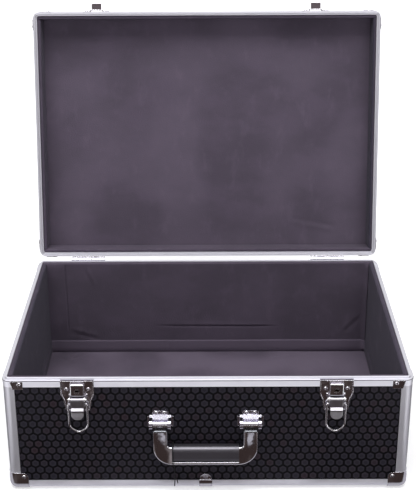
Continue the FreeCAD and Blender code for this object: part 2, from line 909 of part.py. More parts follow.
def latch_lever():
    """The lever: a barrel on the pin, a finger lip below and cheeks that carry the bail."""
    half = s.lever_width / 2
    barrel = rod("X", (LATCH_X - half, PIVOT_Y, PIVOT_Z), s.lever_width, s.barrel_radius)
    back = s.lever_step + s.lever_flare
    lip_base = (LATCH_X, PIVOT_Y - s.barrel_radius - back, PIVOT_Z - s.lever_lip_drop)
    lip = pad("YZ_Plane", lever_lip_outline(), s.lever_lip_width, lip_base)

    def lip_end(edge):
        middle = edge.CenterOfMass
        return along(edge, "y") and near(middle.z, PIVOT_Z - s.lever_lip_drop)

    lip = rounded(lip, lip_end, s.lever_end_radius)
    margin = s.cheek_margin
    cheek_outline = [
        (0, 0),
        (s.bail_pivot_in + margin, 0),
        (s.bail_pivot_in + margin, margin * 2),
        (s.bail_pivot_in, s.bail_pivot_drop + margin),
        (0, s.bail_pivot_drop + margin),
    ]
    cheek_x = LATCH_X + half - s.cheek_thickness / 2
    cheek = pad("YZ_Plane", cheek_outline, s.cheek_thickness, (cheek_x, PIVOT_Y, BAIL_Z - margin))
    pieces = [barrel, lip] + both(cheek, "x", LATCH_X)
    start = LATCH_X - s.latch_width
    length = s.latch_width * 2
    pin_bore = rod("X", (start, PIVOT_Y, PIVOT_Z), length, s.lever_pin_radius + s.running_gap)
    bail_bore = rod("X", (start, BAIL_Y, BAIL_Z), length, s.bail_wire_radius + s.running_gap)
    return cut(fuse(*pieces), pin_bore, bail_bore)


def rounded_wire(points, radii):
    """Straight runs through the points, joined by tangent arcs of the given radii."""
    edges = []
    start = points[0]
    for before, corner, after, radius in zip(points, points[1:], points[2:], radii):
        back = (before - corner).normalize()
        ahead = (after - corner).normalize()
        half = back.getAngle(ahead) / 2
        reach = radius / math.tan(half)
        inward = (back + ahead).normalize()
        middle = corner + inward * (radius / math.sin(half) - radius)
        first = corner + back * reach
        last = corner + ahead * reach
        edges.append(Part.LineSegment(start, first).toShape())
        edges.append(Part.Arc(first, middle, last).toShape())
        start = last
    edges.append(Part.LineSegment(start, points[-1]).toShape())
    return Part.Wire(edges)


def tube(wire, radius, name):
    """A round tube along a wire, checked against its section times its length."""
    first = wire.Edges[0]
    start = first.valueAt(first.FirstParameter)
    direction = first.tangentAt(first.FirstParameter)
    section = Part.Wire([Part.Circle(start, direction, radius).toShape()])
    shell = Part.BRepOffsetAPI.MakePipeShell(wire)
    shell.add(section)
    shell.build()
    shell.makeSolid()
    solid = shell.shape()
    share = solid.Volume / (math.pi * radius ** 2 * wire.Length)
    print(f"{name}: length {wire.Length:.2f}, volume share {share:.4f}")
    return solid


def latch_bail():
    """The wire loop that hangs on the lever and hooks over the keeper."""
    radius = float(s.bail_wire_radius)
    leg = EAR_OUTER + s.bail_side_gap + s.bail_wire_radius
    inner = s.lever_width / 2 - s.cheek_thickness
    corner = s.bail_length - s.bail_point
    half = [(inner, 0), (leg, 0), (leg, corner)]
    route = half + [(0, s.bail_length)] + [(-x, drop) for x, drop in reversed(half)]
    points = [Vector(float(LATCH_X + x), float(BAIL_Y), float(BAIL_Z - drop)) for x, drop in route]
    turn = [float(s.bail_bend_radius), float(s.bail_corner_radius)]
    bends = turn + [float(s.bail_tip_radius)] + turn[::-1]
    return solid_feature(tube(rounded_wire(points, bends), radius, "bail"))


def latch_keeper():
    """The keeper on the lid: a bridge on two feet, with an upturned hook for the bail."""
    sheet = s.keeper_sheet
    top = s.keeper_bridge_rise + sheet
    half = s.keeper_width / 2
    bridge = s.keeper_bridge_width / 2
    slope = s.keeper_bridge_slope
    right = [
        (half + bridge, 0),
        (half + bridge + slope, s.keeper_bridge_rise),
        (s.keeper_width, s.keeper_bridge_rise),
        (s.keeper_width, top),
        (half + bridge, top),
        (half + bridge - slope, sheet),
    ]
    outline = right + [(s.keeper_width - x, y) for x, y in reversed(right)]
    foot = LID_SEAM + s.keeper_lift
    plate = pad("XY_Plane", outline, s.keeper_height,
                (LATCH_X - half, FRONT - top, foot + s.keeper_height / 2))
    low = foot + s.hook_rise
    hook = s.hook_width / 2
    ledge = block(*across(hook, (FRONT - s.hook_out, low), (FRONT - s.keeper_bridge_rise, low + sheet)))
    tip = block(*across(hook, (FRONT - s.hook_out, low),
                        (FRONT - s.hook_out + sheet, foot + s.hook_height)))
    for side in (-1, 1):
        rivet_x = LATCH_X + s.keeper_rivet_place * side
        seat_pair(lid_rivets, "front", (rivet_x, FRONT - sheet, foot + s.keeper_rivet_rise), LATCH_MIDDLE)
    return fuse(plate, ledge, tip)


def make_latches():
    """Two draw latches: plates, pins, levers, bails and locks on the base, keepers on the lid."""
    pin = rod("X", (LATCH_X - EAR_OUTER, PIVOT_Y, PIVOT_Z), EAR_OUTER * 2, s.lever_pin_radius)
    head = rod("X", (LATCH_X + EAR_OUTER, PIVOT_Y, PIVOT_Z), s.lever_pin_head, s.lever_pin_head_radius)
    node("latch_pins", both(fuse(pin, *both(head, "x", LATCH_X)), "x", LATCH_MIDDLE))
    parts = {
        "latch_plate": latch_plate(),
        "latch_lever": latch_lever(),
        "latch_bail": latch_bail(),
        "lock_plug": lock_plug(),
    }
    for name, piece in parts.items():
        for side, shape in zip(("right", "left"), both(piece, "x", LATCH_MIDDLE)):
            node(f"{name}_{side}", shape)
    for side, shape in zip(("right", "left"), both(latch_keeper(), "x", LATCH_MIDDLE)):
        lid_node(f"latch_keeper_{side}", shape)


# Handle

HANDLE_X = s.handle_offset
HANDLE_Y = FRONT - s.handle_axis_out
HANDLE_Z = s.handle_axis_height
ARM_X = HANDLE_X + s.handle_spread / 2


def handle_frame():
    """The frame: two arms from barrels, round elbows and a rail under the grip."""
    half = s.handle_spread / 2 + s.handle_arm_width / 2
    inner = s.handle_spread / 2 - s.handle_arm_width / 2
    grip = s.grip_length / 2
    shelf = s.handle_rail + s.grip_height
    top = s.handle_drop - s.handle_neck
    right = [
        (half + grip, s.handle_rail),
        (half + grip, shelf),
        (half + inner, shelf),
        (half + inner, top),
        (half * 2, top),
        (half * 2, 0),
    ]
    outline = right + [(half * 2 - x, z) for x, z in reversed(right)]
    base = (HANDLE_X - half, HANDLE_Y, HANDLE_Z - s.handle_drop)
    bow = pad("XZ_Plane", outline, s.handle_depth, base)

    def elbow(edge):
        return along(edge, "y") and near(edge.CenterOfMass.z, HANDLE_Z - s.handle_drop)

    def inner_elbow(edge):
        middle = edge.CenterOfMass
        on_arm = near(abs(middle.x - float(HANDLE_X)), inner)
        return along(edge, "y") and on_arm and near(middle.z, HANDLE_Z - s.handle_drop + shelf)

    bow = rounded(bow, inner_elbow, s.handle_inner_radius)
    bow = rounded(bow, elbow, s.handle_outer_radius)

    def rim_edge(edge):
        middle = edge.CenterOfMass
        outside = abs(middle.x - float(HANDLE_X)) > float(grip) or middle.z < float(HANDLE_Z - top)
        on_face = near(abs(middle.y - float(HANDLE_Y)), s.handle_depth / 2)
        lower = near(middle.z, HANDLE_Z - s.handle_drop)
        elbow_arc = edge.Curve.TypeId == "Part::GeomCircle"
        outer_side = near(abs(middle.x - float(HANDLE_X)), half)
        return on_face and outside and (lower or elbow_arc or outer_side)

    def shoulder(edge):
        middle = edge.CenterOfMass
        on_face = near(abs(middle.y - float(HANDLE_Y)), s.handle_depth / 2)
        return along(edge, "x") and on_face and near(middle.z, HANDLE_Z - s.handle_neck)

    def rail_edge(edge):
        middle = edge.CenterOfMass
        on_face = near(abs(middle.y - float(HANDLE_Y)), s.handle_depth / 2)
        return along(edge, "x") and on_face and near(middle.z, HANDLE_Z - s.handle_drop + s.handle_rail)

    bow = rounded(bow, rail_edge, s.handle_rail_round)
    bow = rounded(bow, rim_edge, s.handle_edge_round)
    bow = rounded(bow, shoulder, s.handle_shoulder_round)
    start = ARM_X - s.handle_arm_width / 2
    barrel = rod("X", (start, HANDLE_Y, HANDLE_Z), s.handle_arm_width, s.handle_barrel_radius)
    neck = block((start, HANDLE_Y - s.handle_barrel_radius, HANDLE_Z - s.handle_neck),
                 (start + s.handle_arm_width, HANDLE_Y + s.handle_barrel_radius, HANDLE_Z))
    ends = both(barrel, "x", HANDLE_X) + both(neck, "x", HANDLE_X)
    bore = rod("X", (HANDLE_X - s.case_width / 2, HANDLE_Y, HANDLE_Z), s.case_width,
               s.handle_pin_radius + s.running_gap)
    return cut(fuse(bow, *ends), bore)


def handle_grip():
    """The soft grip that sits on the rail between the elbows."""
    half = s.grip_length / 2
    low = HANDLE_Z - s.handle_drop + s.handle_rail
    grip = slab((HANDLE_X - half, HANDLE_Y - s.grip_depth / 2, low),
                (HANDLE_X + half, HANDLE_Y + s.grip_depth / 2, low + s.grip_height))

    def long_edge(edge):
        return along(edge, "x")

    return rounded(grip, long_edge, s.grip_round)


def handle_bracket():
    """A bracket: a riveted plate, two ears for the pin and a ramp behind the barrel."""
    half = s.mount_width / 2
    inner = s.handle_arm_width / 2 + s.mount_side_gap
    face = PANEL_FACE - s.mount_sheet
    top = HANDLE_Z + s.mount_above
    tab = s.mount_tab_width / 2
    plate = block((ARM_X - half, face, HANDLE_Z - s.mount_below), (ARM_X + half, PANEL_FACE, top))
    tab_top = top + s.mount_tab_height
    upper = slab((ARM_X - tab, face, top), (ARM_X + tab, PANEL_FACE, tab_top))

    def tab_corner(edge):
        return along(edge, "y") and near(edge.CenterOfMass.z, tab_top)

    pieces = [plate, rounded(upper, tab_corner, s.mount_tab_radius)]
    for start in (ARM_X + inner, ARM_X - inner - s.mount_ear):
        pieces.append(rod("X", (start, HANDLE_Y, HANDLE_Z), s.mount_ear, s.mount_ear_radius))
        pieces.append(block((start, HANDLE_Y, HANDLE_Z - s.mount_ear_radius),
                            (start + s.mount_ear, face, HANDLE_Z + s.mount_ear_radius)))
    ramp_front = HANDLE_Y + s.handle_barrel_radius + s.mount_ramp_gap
    ramp_depth = face - ramp_front
    ramp_outline = [
        (0, 0),
        (ramp_depth, 0),
        (ramp_depth, s.mount_ramp_top),
        (0, s.mount_ramp_top - ramp_depth),
    ]
    ramp_width = (inner + s.mount_ear) * 2
    pieces.append(pad("YZ_Plane", ramp_outline, ramp_width, (ARM_X, ramp_front, HANDLE_Z)))
    hole = rod("X", (ARM_X - s.mount_width, HANDLE_Y, HANDLE_Z), s.mount_width * 2,
               s.handle_pin_radius + s.seat_gap)
    for side in (-1, 1):
        rivet_x = ARM_X + s.mount_rivet_place * side
        seat_pair(base_rivets, "front", (rivet_x, face, HANDLE_Z + s.mount_rivet_rise), HANDLE_X)
    return cut(fuse(*pieces), hole)


def make_handle():
    reach = s.handle_arm_width / 2 + s.mount_side_gap + s.mount_ear
    pin = rod("X", (ARM_X - reach, HANDLE_Y, HANDLE_Z), reach * 2, s.handle_pin_radius)
    node("handle_frame", handle_frame())
    node("handle_grip", handle_grip())
    for side, piece in zip(("right", "left"), both(handle_bracket(), "x", HANDLE_X)):
        node(f"handle_bracket_{side}", piece)
    node("handle_pins", both(pin, "x", HANDLE_X))


# Tie string: a loop round the grip, a hanging strand and a knot with a short second tail

STRING_X = HANDLE_X - s.grip_length / 2 + s.string_inset
STRING_LOW = HANDLE_Z - s.handle_drop - s.string_gap - s.string_radius
STRAND_X = STRING_X + s.string_radius * 2 + s.running_gap
# the strand's points from its start beside the loop, to the right, outwards and down: as far as the
# knot's centre, and from there to the loose end
STRAND_SHARES = [(0, 0, 0), (0, 0.01, 0.25), (0.01, 0.005, 0.46), (0.02, -0.01, 0.67)]
LOOSE_END_SHARES = [(0.005, -0.005, 0.88), (0, 0.01, 1)]
# the second tail's points from the knot's centre, to the right, outwards and down
KNOT_TAIL_SHARES = [(0.036, 0, -0.006), (0.083, 0.009, 0.074), (0.1, 0.006, 0.2)]
# how much of a run an arc at its end may take
ARC_SHARE = 0.45


def string_loop():
    """The loop, close round the grip and the rail."""
    gap = s.string_gap + s.string_radius
    half = s.grip_depth / 2 + gap
    top = HANDLE_Z - s.handle_drop + s.handle_rail + s.grip_height + gap
    low = STRING_LOW
    middle = (top + low) / 2
    radius = float(s.string_loop_radius)
    corners = [
        (HANDLE_Y - half, middle),
        (HANDLE_Y - half, top),
        (HANDLE_Y + half, top),
        (HANDLE_Y + half, low),
        (HANDLE_Y - half, low),
        (HANDLE_Y - half, middle),
    ]
    points = [Vector(float(STRING_X), float(y), float(z)) for y, z in corners]
    return solid_feature(tube(rounded_wire(points, [radius] * 4), float(s.string_radius), "string loop"))


def route_radii(points):
    """The largest arc at each inner point that leaves its runs a straight middle."""
    radii = []
    for before, corner, after in zip(points, points[1:], points[2:]):
        back = before - corner
        ahead = after - corner
        turn = math.pi - back.getAngle(ahead)
        radii.append(ARC_SHARE * min(back.Length, ahead.Length) / math.tan(turn / 2))
    print("string radii:", [round(radius, 1) for radius in radii])
    return radii


def spread(start, shares):
    """Points at shares of the strand's length to the right of, outwards from and below a start."""
    length = float(s.string_length)
    return [start + Vector(x, -out, -down) * length for x, out, down in shares]


def strand_points():
    """The strand's points as far as the knot's centre."""
    start = Vector(float(STRAND_X), float(HANDLE_Y), float(STRING_LOW))
    return spread(start, STRAND_SHARES)


def string_points():
    """All the strand's points."""
    points = strand_points()
    return points + spread(points[0], LOOSE_END_SHARES)


def tie_string():
    points = string_points()
    wire = rounded_wire(points, route_radii(points))
    return solid_feature(tube(wire, float(s.string_radius), "tie string"))


def string_knot():
    """The knot on the strand, with a short second tail."""
    points = string_points()
    centre = strand_points()[-1]
    gap = float(s.running_gap)
    strand = tube(rounded_wire(points, route_radii(points)), float(s.string_radius) + gap, "knot bore")
    tail = spread(centre, KNOT_TAIL_SHARES)
    stub = tube(rounded_wire(tail, route_radii(tail)), float(s.string_radius), "knot tail")
    knot = Part.makeSphere(float(s.knot_radius), centre)
    return solid_feature(knot.fuse(stub).cut(strand))


def make_string():
    node("string_loop", string_loop())
    node("tie_string", tie_string())
    node("string_knot", string_knot())


def main():
    panel_low = UNDERSIDE + s.edge_radius
    edge_top = UNDERSIDE + s.edge_flange
    base_panels = wall_panels(panel_low, PART - s.rim_web)
    for name, piece in zip(("front", "rear", "left", "right"), base_panels):
        node(f"base_{name}_panel", piece)
    node("base_floor_panel", flat_panel(UNDERSIDE + s.profile_wall))
    node("base_corner_posts", posts(edge_top, PART - s.rim_band))
    edges = bottom_edges()
    node("base_bottom_edges", edges)
    caps = four(corner_cap())
    node("base_corner_caps", caps)
    node("base_rims", rim(base_rim_outline(), PART - s.rim_inner_band))
    node("base_rim_corners", rim_corners(base_rim_outline(), PART - s.rim_inner_band))
    brackets = rim_brackets()
    node("base_rim_brackets", brackets)
    node("bottom_edge_clip", edge_clip())
    floor = UNDERSIDE + PROFILE + s.lining_gap
    floor_top = floor + s.floor_lining
    node("base_floor_lining", flat_lining(floor, s.floor_lining))
    linings = wall_linings(s.wall_lining, floor_top + s.lining_gap, PART + s.tongue_height - s.lining_drop)
    for name, piece in zip(("front", "rear", "left", "right"), linings):
        node(f"base_{name}_lining", piece)

    lid_panels = wall_panels(LID_SEAM + RECESS + s.rim_web, LID_TOP - s.edge_radius)
    for name, piece in zip(("front", "rear", "left", "right"), lid_panels):
        lid_node(f"lid_{name}_panel", piece)
    lid_node("lid_top_panel", flat_panel(LID_TOP - SLOT_BACK))
    lid_node("lid_corner_posts", posts(LID_SEAM + s.rim_band, LID_TOP - s.edge_flange))
    lid_node("lid_top_edges", upside_down(edges))
    lid_node("lid_corner_caps", upside_down(caps))
    lid_node("lid_rims", rim(lid_rim_outline(), LID_SEAM))
    lid_node("lid_rim_corners", rim_corners(lid_rim_outline(), LID_SEAM))
    lid_node("lid_rim_brackets", [mirror(piece, "z", (PART + LID_SEAM) / 2) for piece in brackets])
    ceiling = LID_TOP - PROFILE - s.lining_gap - s.lid_lining
    lid_node("lid_top_lining", flat_lining(ceiling, s.lid_lining))
    lid_linings = wall_linings(s.lid_lining, LID_SEAM + RECESS + s.rim_web, ceiling - s.lining_gap)
    for name, piece in zip(("front", "rear", "left", "right"), lid_linings):
        lid_node(f"lid_{name}_lining", piece)

    cap_rivets()
    make_hinges()
    make_latches()
    make_handle()
    make_string()
    doc.recompute()
    node("base_rivets", rivet_group(base_rivets))
    lid_node("lid_rivets", rivet_group(lid_rivets))
    doc.recompute()


def check():
    """Stop if anything failed to build."""
    for obj in doc.Objects:
        if "Invalid" in obj.State or "Error" in obj.State:
            raise RuntimeError(f"{obj.Name} failed: {obj.State}")
    for obj in nodes:
        if obj.Shape.isNull() or not obj.Shape.isValid() or not obj.Shape.Solids:
            raise RuntimeError(f"{obj.Label} has no valid solid")


def write():
    os.makedirs("parts", exist_ok=True)
    for obj in nodes:
        obj.Shape.exportStep(f"parts/{obj.Label}.step")
        print(obj.Label, len(obj.Shape.Solids), f"{obj.Shape.Volume:.1f}")


main()
check()
write()
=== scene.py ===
import math

import bpy
import numpy as np
from mathutils import Matrix, Vector, noise


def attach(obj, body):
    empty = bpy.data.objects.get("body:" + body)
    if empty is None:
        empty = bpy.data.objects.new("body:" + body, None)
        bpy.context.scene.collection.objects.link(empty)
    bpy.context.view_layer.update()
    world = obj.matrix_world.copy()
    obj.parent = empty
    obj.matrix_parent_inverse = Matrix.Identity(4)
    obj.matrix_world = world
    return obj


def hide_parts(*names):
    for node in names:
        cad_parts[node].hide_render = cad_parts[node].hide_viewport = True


# The look of the open flight case. Lengths in tables are in millimetres, in the frame that the case was
# drawn in: X to the right, Y to the back, Z up, from the middle of the floor panel's underside, lid closed.

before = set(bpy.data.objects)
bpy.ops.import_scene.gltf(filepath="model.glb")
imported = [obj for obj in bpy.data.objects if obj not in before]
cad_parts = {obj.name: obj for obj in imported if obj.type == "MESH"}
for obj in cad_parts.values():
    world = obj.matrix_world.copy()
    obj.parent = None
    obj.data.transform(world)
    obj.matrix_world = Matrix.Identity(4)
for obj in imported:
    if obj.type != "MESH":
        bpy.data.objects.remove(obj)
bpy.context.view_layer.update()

MM = 0.001
DRAWN_AT = Vector((0, -58.8, 2.2)) * MM
HINGE = Vector((0, 183.7, 155.2)) * MM
OPEN_ANGLE = math.radians(103)
TO_ROW = Matrix.Translation(DRAWN_AT)
LID_TURN = Matrix.Translation(HINGE) @ Matrix.Rotation(-OPEN_ANGLE, 4, "X") @ Matrix.Translation(-HINGE)
STOOD_OPEN = TO_ROW @ LID_TURN
CASE_WIDTH = 500
CASE_DEPTH = 357


def point(x, y, z):
    """A drawn place in millimetres as a place in the frame of the scene."""
    return TO_ROW @ (Vector((x, y, z)) * MM)


# Camera

FRAME_WIDTH = 416
FRAME_HEIGHT = 490
FOCAL_PIXELS = 1179.8
PRINCIPAL = (206.06, 257.9)
EYE = (3.6, -1426.0, 866.9)
PITCH = math.radians(23.78)
YAW = math.radians(-0.218)
ROLL = math.radians(-0.296)


def make_camera():
    ahead = Vector((math.sin(YAW) * math.cos(PITCH), math.cos(YAW) * math.cos(PITCH), -math.sin(PITCH)))
    level = Vector((math.cos(YAW), -math.sin(YAW), 0))
    upright = level.cross(ahead)
    right = level * math.cos(ROLL) + upright * math.sin(ROLL)
    up = upright * math.cos(ROLL) - level * math.sin(ROLL)
    data = bpy.data.cameras.new("camera")
    data.lens = FOCAL_PIXELS * data.sensor_width / FRAME_HEIGHT
    data.shift_x = (FRAME_WIDTH / 2 - PRINCIPAL[0]) / FRAME_HEIGHT
    data.shift_y = (PRINCIPAL[1] - FRAME_HEIGHT / 2) / FRAME_HEIGHT
    data.clip_end = 100
    camera = bpy.data.objects.new("camera", data)
    bpy.context.collection.objects.link(camera)
    turn = Matrix((right, up, -ahead)).transposed().to_4x4()
    camera.matrix_world = Matrix.Translation(point(*EYE)) @ turn
    bpy.context.scene.camera = camera


# Materials

class Graph:
    """A material's nodes, built by short calls."""

    def __init__(self, name, tree=None):
        if tree is None:
            self.material = bpy.data.materials.new(name)
            self.material.use_nodes = True
            tree = self.material.node_tree
        self.nodes = tree.nodes
        self.links = tree.links
        self.nodes.clear()

    def add(self, kind, inputs=None, **settings):
        made = self.nodes.new(kind)
        for key, value in settings.items():
            setattr(made, key, value)
        for key, value in (inputs or {}).items():
            self.put(made.inputs[key], value)
        return made

    def put(self, socket, value):
        if isinstance(value, bpy.types.NodeSocket):
            self.links.new(value, socket)
        else:
            socket.default_value = value

    def math(self, operation, *values, clamp=False):
        inputs = dict(enumerate(values))
        return self.add("ShaderNodeMath", inputs, operation=operation, use_clamp=clamp).outputs[0]

    def vector(self, operation, *values):
        made = self.add("ShaderNodeVectorMath", dict(enumerate(values)), operation=operation)
        return made.outputs["Value"] if operation in ("DOT_PRODUCT", "LENGTH") else made.outputs[0]

    def split(self, vector):
        return self.add("ShaderNodeSeparateXYZ", {0: vector}).outputs

    def join(self, x, y, z):
        return self.add("ShaderNodeCombineXYZ", {0: x, 1: y, 2: z}).outputs[0]

    def step(self, value, low, high, to_low=0.0, to_high=1.0):
        """A soft step from one value to another."""
        made = self.add("ShaderNodeMapRange", {0: value, 1: low, 2: high, 3: to_low, 4: to_high},
                        interpolation_type="SMOOTHSTEP")
        return made.outputs[0]

    def noise(self, vector, scale, detail=2.0, roughness=0.5):
        made = self.add("ShaderNodeTexNoise",
                        {"Vector": vector, "Scale": scale, "Detail": detail, "Roughness": roughness})
        return made.outputs[0]

    def mix(self, share, a, b):
        made = self.add("ShaderNodeMix", {0: share, 6: a, 7: b}, data_type="RGBA")
        return made.outputs[2]

    def bump(self, height, depth, normal=None):
        inputs = {"Height": height, "Distance": depth, "Strength": 1.0}
        if normal:
            inputs["Normal"] = normal
        return self.add("ShaderNodeBump", inputs).outputs[0]

    def finish(self, **inputs):
        """The surface, with names of sockets written with underscores."""
        shader = self.add("ShaderNodeBsdfPrincipled", {k.replace("_", " "): v for k, v in inputs.items()})
        output = self.add("ShaderNodeOutputMaterial")
        self.links.new(shader.outputs[0], output.inputs["Surface"])
        return self.material


def drawn_place(graph, on_lid):
    """Where a point of the surface was drawn, in metres, with the lid closed."""
    place = graph.add("ShaderNodeTexCoord").outputs["Object"]
    place = graph.vector("SUBTRACT", place, DRAWN_AT)
    if on_lid:
        turned = graph.add("ShaderNodeVectorRotate", {"Vector": place, "Center": HINGE, "Angle": OPEN_ANGLE},
                           rotation_type="X_AXIS")
        place = turned.outputs[0]
    return place


HEX_PITCH = {"x": 10.88, "y": 10.88, "z": 11.01}
HEX_START = {"x": 1.45, "y": 0.0, "z": 17.06}
FAR_CELLS = 100


def hexagons(graph, place, axes):
    """How far a point is from the edge of its hexagon, in pitches, and a number for each hexagon."""
    parts = dict(zip("xyz", graph.split(place)))
    cells = []
    for axis, repeat in zip(axes, (1, math.sqrt(3))):
        moved = graph.math("SUBTRACT", parts[axis], HEX_START[axis] * MM)
        scaled = graph.math("DIVIDE", moved, HEX_PITCH[axis] * MM)
        cells.append(graph.math("ADD", scaled, (FAR_CELLS + 0.5) * repeat))
    spot = graph.join(*cells, 0.0)
    repeat = (1, math.sqrt(3), 1)
    half = (0.5, math.sqrt(3) / 2, 0)
    first = graph.vector("SUBTRACT", graph.vector("MODULO", spot, repeat), half)
    second = graph.vector("SUBTRACT", graph.vector("MODULO", graph.vector("ADD", spot, half), repeat), half)
    nearer = graph.math("LESS_THAN", graph.vector("DOT_PRODUCT", first, first),
                        graph.vector("DOT_PRODUCT", second, second))
    chosen = graph.add("ShaderNodeMix", {0: nearer, 4: second, 5: first}, data_type="VECTOR").outputs[1]
    across = graph.vector("ABSOLUTE", chosen)
    slanted = graph.vector("DOT_PRODUCT", across, (0.5, math.sqrt(3) / 2, 0))
    reach = graph.math("MAXIMUM", graph.split(across)[0], slanted)
    edge = graph.math("SUBTRACT", 0.5, reach)
    centre = graph.vector("SUBTRACT", spot, chosen)
    number = graph.add("ShaderNodeTexWhiteNoise", {"Vector": centre}, noise_dimensions="3D").outputs["Value"]
    return edge, number


PANEL_BLUE = (0.0140, 0.0128, 0.0205, 1)
PANEL_BROWN = (0.0188, 0.0150, 0.0222, 1)
PANEL_RED = (0.0220, 0.0120, 0.0170, 1)
PANEL_SPECKLE = (0.034, 0.030, 0.040, 1)
PANEL_RING = (0.042, 0.038, 0.048, 1)
PANEL_GAP = (0.0012, 0.0010, 0.0018, 1)
PANEL_RELIEF = 0.22


def panel_material(name, axes, on_lid):
    """Black laminate with a fine raised pattern of hexagons."""
    graph = Graph(name)
    place = drawn_place(graph, on_lid)
    edge, number = hexagons(graph, place, axes)
    inside = graph.step(edge, 0.05, 0.17)
    speckle = graph.noise(place, 1800, 3, 0.6)
    cloud = graph.noise(place, 22, 2)
    tint = graph.mix(number, PANEL_BLUE, PANEL_BROWN)
    red = graph.math("MULTIPLY", graph.step(number, 0.72, 0.95), graph.step(cloud, 0.4, 0.62))
    tint = graph.mix(red, tint, PANEL_RED)
    tint = graph.mix(graph.step(speckle, 0.5, 0.8, 0, 0.6), tint, PANEL_SPECKLE)
    ring = graph.math("MULTIPLY", graph.step(edge, 0.10, 0.20), graph.step(edge, 0.22, 0.34, 1, 0))
    tint = graph.mix(graph.math("MULTIPLY", ring, 0.3), tint, PANEL_RING)
    colour = graph.mix(inside, PANEL_GAP, tint)
    rise = graph.step(edge, 0.03, 0.16)
    height = graph.math("MULTIPLY_ADD", speckle, 0.08, rise)
    rough = graph.math("MULTIPLY_ADD", speckle, 0.2, graph.math("MULTIPLY_ADD", inside, -0.15, 0.5))
    return graph.finish(Base_Color=colour, Roughness=rough, Specular_IOR_Level=0.16,
                        Normal=graph.bump(height, PANEL_RELIEF * MM))


def runs_along_x(graph, place):
    """1 on pieces of the front and rear, which run along X, and 0 on those of the two sides."""
    x, y, _ = graph.split(place)
    sideways = graph.math("DIVIDE", graph.math("ABSOLUTE", x), CASE_WIDTH / 2 * MM)
    lengthways = graph.math("DIVIDE", graph.math("ABSOLUTE", y), CASE_DEPTH / 2 * MM)
    return graph.math("GREATER_THAN", lengthways, sideways)


BASE_GROOVE = (153.8, 155.0)
LID_GROOVE = (156.5, 157.7)
SIDE_SHADE = 0.7
EXTRUSION_LINES = 900
ALONG_SHARE = 0.006
ALUMINIUM_DARK = (0.76, 0.75, 0.82, 1)
ALUMINIUM_LIGHT = (0.83, 0.82, 0.88, 1)
ALUMINIUM_LINE = (0.66, 0.65, 0.72, 1)
GROOVE_SHADE = (0.10, 0.09, 0.11, 1)
LINE_DEPTH = 0.02


def extrusion_material(name, on_lid, upright, metallic, shade, groove=None):
    """Satin anodised aluminium with fine lines along the extrusion, brightness cut to a share that paints
    shade, more so on the pieces of the two sides, and a fine groove with painted shade between two heights.
    """
    graph = Graph(name)
    place = drawn_place(graph, on_lid)
    if upright:
        stretched = graph.vector("MULTIPLY", place, (1, 1, ALONG_SHARE))
    else:
        along = graph.add("ShaderNodeMix", {0: runs_along_x(graph, place), 4: (1, ALONG_SHARE, 1),
                                            5: (ALONG_SHARE, 1, 1)}, data_type="VECTOR").outputs[1]
        stretched = graph.vector("MULTIPLY", place, along)
    lines = graph.noise(stretched, EXTRUSION_LINES, 3, 0.6)
    smudge = graph.noise(place, 45, 4, 0.6)
    fine = graph.noise(place, 1400, 2)
    light = graph.mix(smudge, ALUMINIUM_DARK, ALUMINIUM_LIGHT)
    light = graph.mix(graph.math("MULTIPLY", lines, 0.3), light, ALUMINIUM_LINE)
    # Painted shade: the colour is cut to the given share, and further on the pieces of the two sides.
    share = graph.math("MULTIPLY", graph.step(runs_along_x(graph, place), 0.2, 0.8, SIDE_SHADE, 1), shade)
    colour = graph.mix(share, (0, 0, 0, 1), light)
    rough = graph.math("MULTIPLY_ADD", smudge, 0.16, 0.28)
    height = graph.math("MULTIPLY_ADD", fine, 0.4, lines)
    if groove:
        middle = (groove[0] + groove[1]) / 2 * MM
        half = (groove[1] - groove[0]) / 2 * MM
        off = graph.math("ABSOLUTE", graph.math("SUBTRACT", graph.split(place)[2], middle))
        inside = graph.step(off, 0.6 * half, half, 1, 0)
        # Painted shade: a dark line in the groove between the two heights, beside the bump.
        colour = graph.mix(inside, colour, GROOVE_SHADE)
        height = graph.math("MULTIPLY_ADD", inside, -8.0, height)
    return graph.finish(Base_Color=colour, Metallic=metallic, Roughness=rough,
                        Normal=graph.bump(height, LINE_DEPTH * MM))


CHROME_EDGE = 0.6
CREVICE = 2.2
CREVICE_SHADE = (0.05, 0.045, 0.06, 1)
WORN_SHARE = 0.88
NECK_SHADE = (0.16, 0.165, 0.18, 1)
PLUG_FACE = -184.5
# A band of painted shade on the handle's necks under the bracket barrels, a little rougher as well.
HANDLE_SHADE_BAND = (92.4, 99.33)  # heights over the floor
SHADE_BAND_LOW_SOFT = 1.2
SHADE_BAND_HIGH_SOFT = 0.4
SHADE_BAND_ROUGHNESS = 0.2


